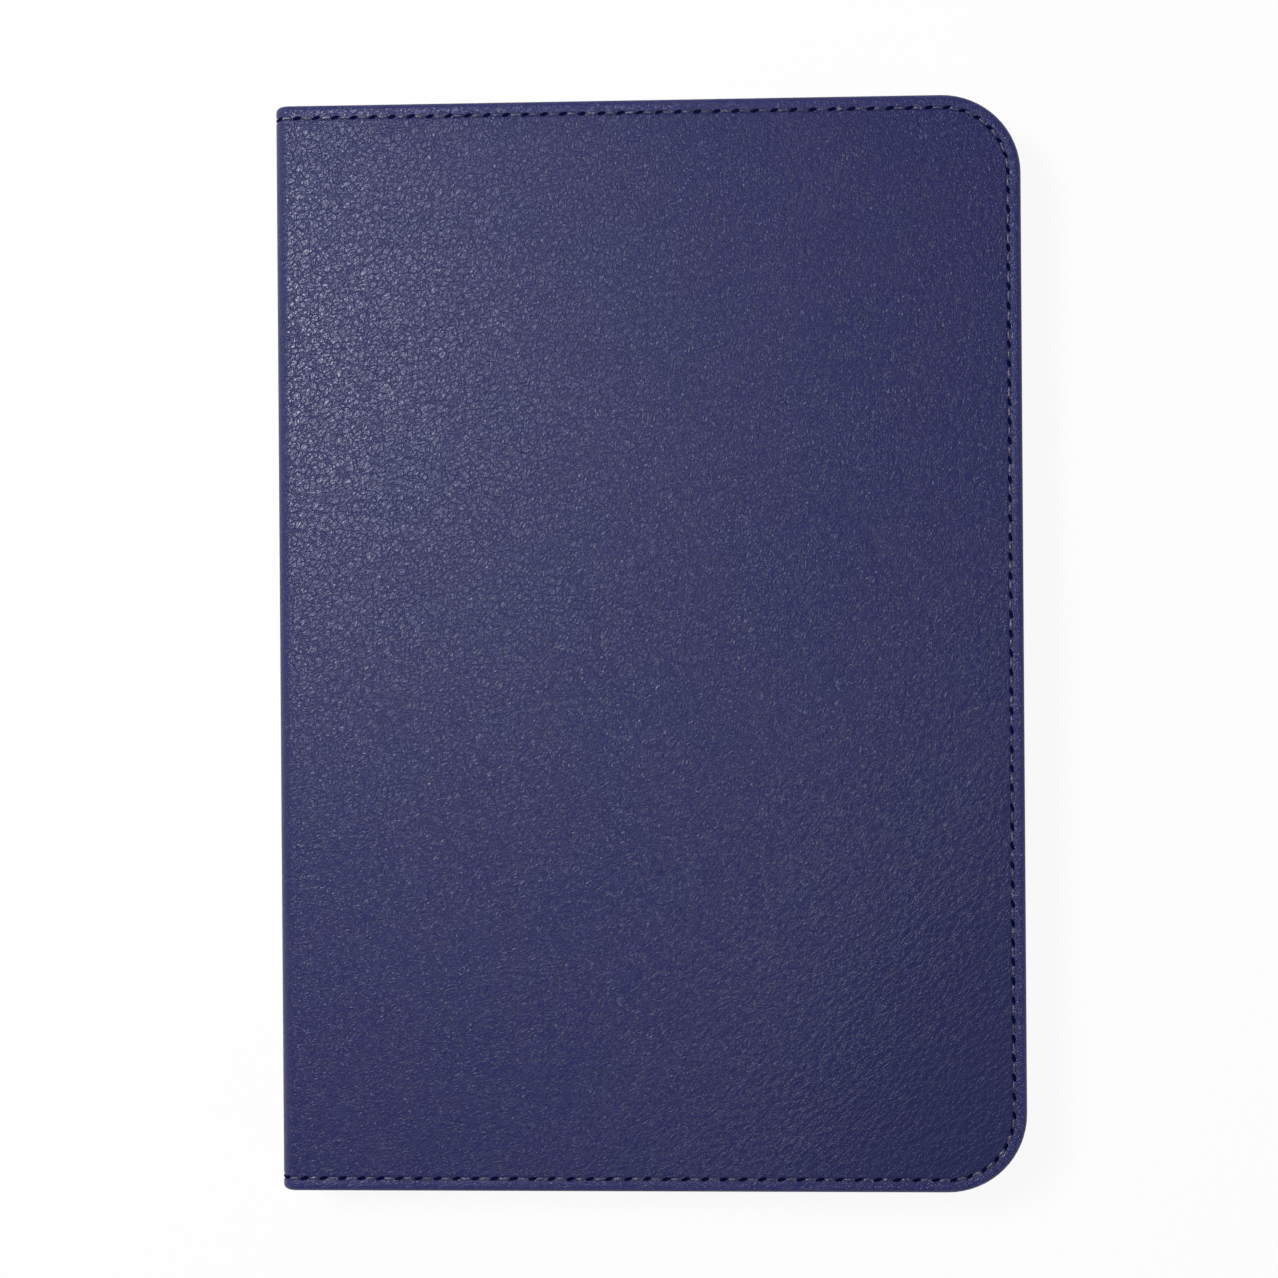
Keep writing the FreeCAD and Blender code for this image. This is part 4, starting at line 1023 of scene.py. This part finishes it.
class CASE_OT_keys(bpy.types.Operator):
    """Every key cap, rounded and dished, with its printed legend."""

    bl_idname = "case.keys"
    bl_label = "Keys"

    def cap(self, name, low, high):
        size = sizes()
        dish_rim = 0.9 * MM
        foot = high.z - size.flange_height
        key = add_block(name, Vector((low.x, low.y, foot)), high)
        middle = (low + high) / 2
        wide = high - low - Vector((2, 2, 0)) * size.key_flange
        with editing(key, "FACE"):
            pick(key, "faces", face_to(2, -1, foot))
            bpy.ops.mesh.inset(thickness=size.key_flange)
            extrude((0, 0, low.z - foot))
            lean = [1 - 2 * size.key_lean / part for part in wide[:2]]
            bpy.ops.transform.resize(value=(*lean, 1), center_override=(middle.x, middle.y, low.z))

        def rib(edge):
            heights = sorted(vertex.co.z for vertex in edge.verts)
            return at(heights[0], low.z) and at(heights[1], foot)

        with editing(key, "EDGE"):
            pick(key, "edges", rib)
            bevel(size.key_corner, steps=4)
            pick(key, "edges", edge_at(2, low.z))
            bevel(size.key_edge, steps=3)
        with editing(key, "FACE"):
            pick(key, "faces", face_to(2, -1, low.z))
            bpy.ops.mesh.inset(thickness=dish_rim, depth=-size.key_dish)
        return key

    def legend(self, word, place):
        size = sizes()
        print_height = 0.02 * MM
        bpy.ops.object.select_all(action="DESELECT")
        bpy.ops.object.text_add()
        text = bpy.context.object
        text.data.body = word
        text.data.size = size.legend if len(word) == 1 else size.small_legend
        text.data.align_x = "CENTER"
        text.data.align_y = "CENTER"
        text.data.extrude = print_height
        text.data.resolution_u = 2
        bpy.ops.object.convert(target="MESH")
        text = bpy.context.object
        text.matrix_world = Matrix.Translation(place) @ READING
        bpy.ops.object.transform_apply(location=True, rotation=True, scale=True)
        paint(text, moulded_material("key_print", "print", roughness=0.5))
        return text

    def execute(self, context):
        size = sizes()
        one_low, one_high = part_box("fn_key")
        row_low, row_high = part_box("function_keys")
        count = len(LEGENDS["function_keys"])
        unit = ((row_high.y - row_low.y) - (one_high.y - one_low.y)) / (count - 1)
        material = moulded_material("moulded_key", "cap", roughness=0.44)
        for node, words in LEGENDS.items():
            low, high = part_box(node)
            width = high.y - low.y - (len(words) - 1) * unit
            key = self.cap(node + "_caps", low, Vector((high.x, low.y + width, high.z)))
            apply_modifier(key, "ARRAY", count=len(words), use_relative_offset=False,
                           use_constant_offset=True, constant_offset_displace=(0, unit, 0))
            smooth(key)
            paint(key, material)
            prints = []
            for number, word in enumerate(words):
                if word:
                    along = high.y - width / 2 - number * unit
                    place = Vector(((low.x + high.x) / 2, along, low.z + size.key_dish))
                    prints.append(self.legend(word, place))
            select_only(key)
            for text in prints:
                text.select_set(True)
            if prints:
                bpy.ops.object.join()
            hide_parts(node)
            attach(key, BODY_OF[node])
        return {"FINISHED"}


class CASE_OT_inner_parts(bpy.types.Operator):
    """Finishes of the boards, magnets and electronics that the case holds inside."""

    bl_idname = "case.inner_parts"
    bl_label = "Inner parts"

    def execute(self, context):
        magnet = metal_material("plated_magnet", "magnet", roughness=0.4)
        magnets = ("stand_magnets", "sleep_magnets", "keyboard_keepers", "prop_magnets", "keyboard_magnets")
        board = cloth_material("pressed_board", "board", stroke=0.85, scale=5200.0)
        film = moulded_material("contact_film", "film", roughness=0.35)
        circuit = moulded_material("lacquered_circuit", "circuit", roughness=0.35)
        pouch = moulded_material("foil_pouch", "pouch", roughness=0.36, scale=1800.0, metallic=0.8)
        finishes = (
            (board, ("back_board", "front_board", "spine_board")),
            (magnet, magnets),
            (film, ("key_membrane",)),
            (silicone_material(), ("key_domes",)),
            (circuit, ("circuit_board",)),
            (pouch, ("battery",)),
        )
        for material, nodes in finishes:
            for node in nodes:
                for holder in frame["nodes"][node].material_slots:
                    holder.material = material
        return {"FINISHED"}


class CASE_OT_stage(bpy.types.Operator):
    """White floor, soft studio light and the camera above the cover."""

    bl_idname = "case.stage"
    bl_label = "Stage"

    def floor(self):
        bpy.ops.object.select_all(action="DESELECT")
        bpy.ops.mesh.primitive_plane_add(size=FLOOR_SIZE, location=(0, 0, -FLOOR_DROP))
        floor = bpy.context.object
        floor.name = "floor"
        material = bpy.data.materials.new("white_floor")
        material.use_nodes = True
        tree = material.node_tree
        surface = tree.nodes["Principled BSDF"]
        surface.inputs["Base Color"].default_value = (*colours().floor, 1)
        surface.inputs["Roughness"].default_value = 0.9
        surface.inputs["Specular IOR Level"].default_value = 0.0
        glow = add_node(tree, "ShaderNodeEmission")
        rays = add_node(tree, "ShaderNodeLightPath").outputs
        seen = reckon(tree, "MAXIMUM", rays["Is Camera Ray"], rays["Is Glossy Ray"])
        seen = reckon(tree, "MAXIMUM", seen, rays["Is Transmission Ray"])
        blend = add_node(tree, "ShaderNodeMixShader")
        tree.links.new(reckon(tree, "MULTIPLY", seen, FLOOR_GLOW), blend.inputs["Fac"])
        tree.links.new(surface.outputs[0], blend.inputs[1])
        tree.links.new(glow.outputs[0], blend.inputs[2])
        tree.links.new(blend.outputs[0], tree.nodes["Material Output"].inputs["Surface"])
        floor.data.materials.append(material)

    def world(self):
        world = bpy.data.worlds.new("studio")
        bpy.context.scene.world = world
        world.use_nodes = True
        tree = world.node_tree
        sky = tree.nodes["Background"]
        sky.inputs["Color"].default_value = (1, 1, 1, 1)
        rays = add_node(tree, "ShaderNodeLightPath").outputs
        upward = add_node(tree, "ShaderNodeSeparateXYZ")
        tree.links.new(add_node(tree, "ShaderNodeTexCoord").outputs["Generated"], upward.inputs[0])
        backdrop = spread(tree, upward.outputs["Z"], *BACKDROP_TOP, 1.0, 0.0)
        mirrored = reckon(tree, "MULTIPLY", rays["Is Glossy Ray"], backdrop)
        seen = reckon(tree, "MAXIMUM", rays["Is Camera Ray"], rays["Is Transmission Ray"])
        seen = reckon(tree, "MAXIMUM", seen, mirrored)
        strength = reckon(tree, "MULTIPLY_ADD", seen, 1 - SKY_LIGHT, SKY_LIGHT)
        tree.links.new(strength, sky.inputs["Strength"])

    def lamp(self, name, place, size, power):
        bpy.ops.object.select_all(action="DESELECT")
        bpy.ops.object.light_add(type="AREA", location=place)
        lamp = bpy.context.object
        lamp.name = name
        lamp.data.shape = "RECTANGLE"
        lamp.data.size, lamp.data.size_y = size
        lamp.data.energy = power
        lamp.rotation_euler = (-Vector(place)).to_track_quat("-Z", "Y").to_euler()

    def camera(self):
        data = bpy.data.cameras.new("camera")
        data.lens = LENS
        data.sensor_width = SENSOR
        camera = bpy.data.objects.new("camera", data)
        bpy.context.scene.collection.objects.link(camera)
        camera.location = CAMERA_PLACE
        camera.rotation_euler = [math.radians(turn) for turn in CAMERA_TURN]
        bpy.context.scene.camera = camera

    def execute(self, context):
        self.floor()
        self.world()
        self.lamp("softbox", **SOFTBOX)
        self.lamp("fill", **FILL)
        self.camera()
        context.scene.view_settings.view_transform = "Standard"
        return {"FINISHED"}


OPERATORS = (
    CASE_OT_outer_leather,
    CASE_OT_stitching,
    CASE_OT_linings,
    CASE_OT_stand,
    CASE_OT_tray,
    CASE_OT_keyboard,
    CASE_OT_keys,
    CASE_OT_inner_parts,
    CASE_OT_stage,
)


class CASE_PT_sidebar(bpy.types.Panel):
    """Lists the steps that build the case."""

    bl_idname = "CASE_PT_sidebar"
    bl_label = "Tablet keyboard case"
    bl_space_type = "VIEW_3D"
    bl_region_type = "UI"
    bl_category = "Case"

    def draw(self, context):
        for step in OPERATORS:
            self.layout.operator(step.bl_idname)
        for group in (context.scene.case_sizes, context.scene.case_colours):
            box = self.layout.box()
            for name in group.__annotations__:
                box.prop(group, name)


CLASSES = (CaseSizes, CaseColours, *OPERATORS, CASE_PT_sidebar)


def register():
    """Register the classes and hang the sizes and colours on the scene."""
    for item in CLASSES:
        bpy.utils.register_class(item)
    bpy.types.Scene.case_sizes = PointerProperty(type=CaseSizes)
    bpy.types.Scene.case_colours = PointerProperty(type=CaseColours)


def unregister():
    """Undo what register did."""
    del bpy.types.Scene.case_colours
    del bpy.types.Scene.case_sizes
    for item in reversed(CLASSES):
        bpy.utils.unregister_class(item)


def main():
    """Build every piece in order."""
    register()
    for step in OPERATORS:
        group, name = step.bl_idname.split(".")
        getattr(getattr(bpy.ops, group), name)()


if __name__ == "__main__":
    main()
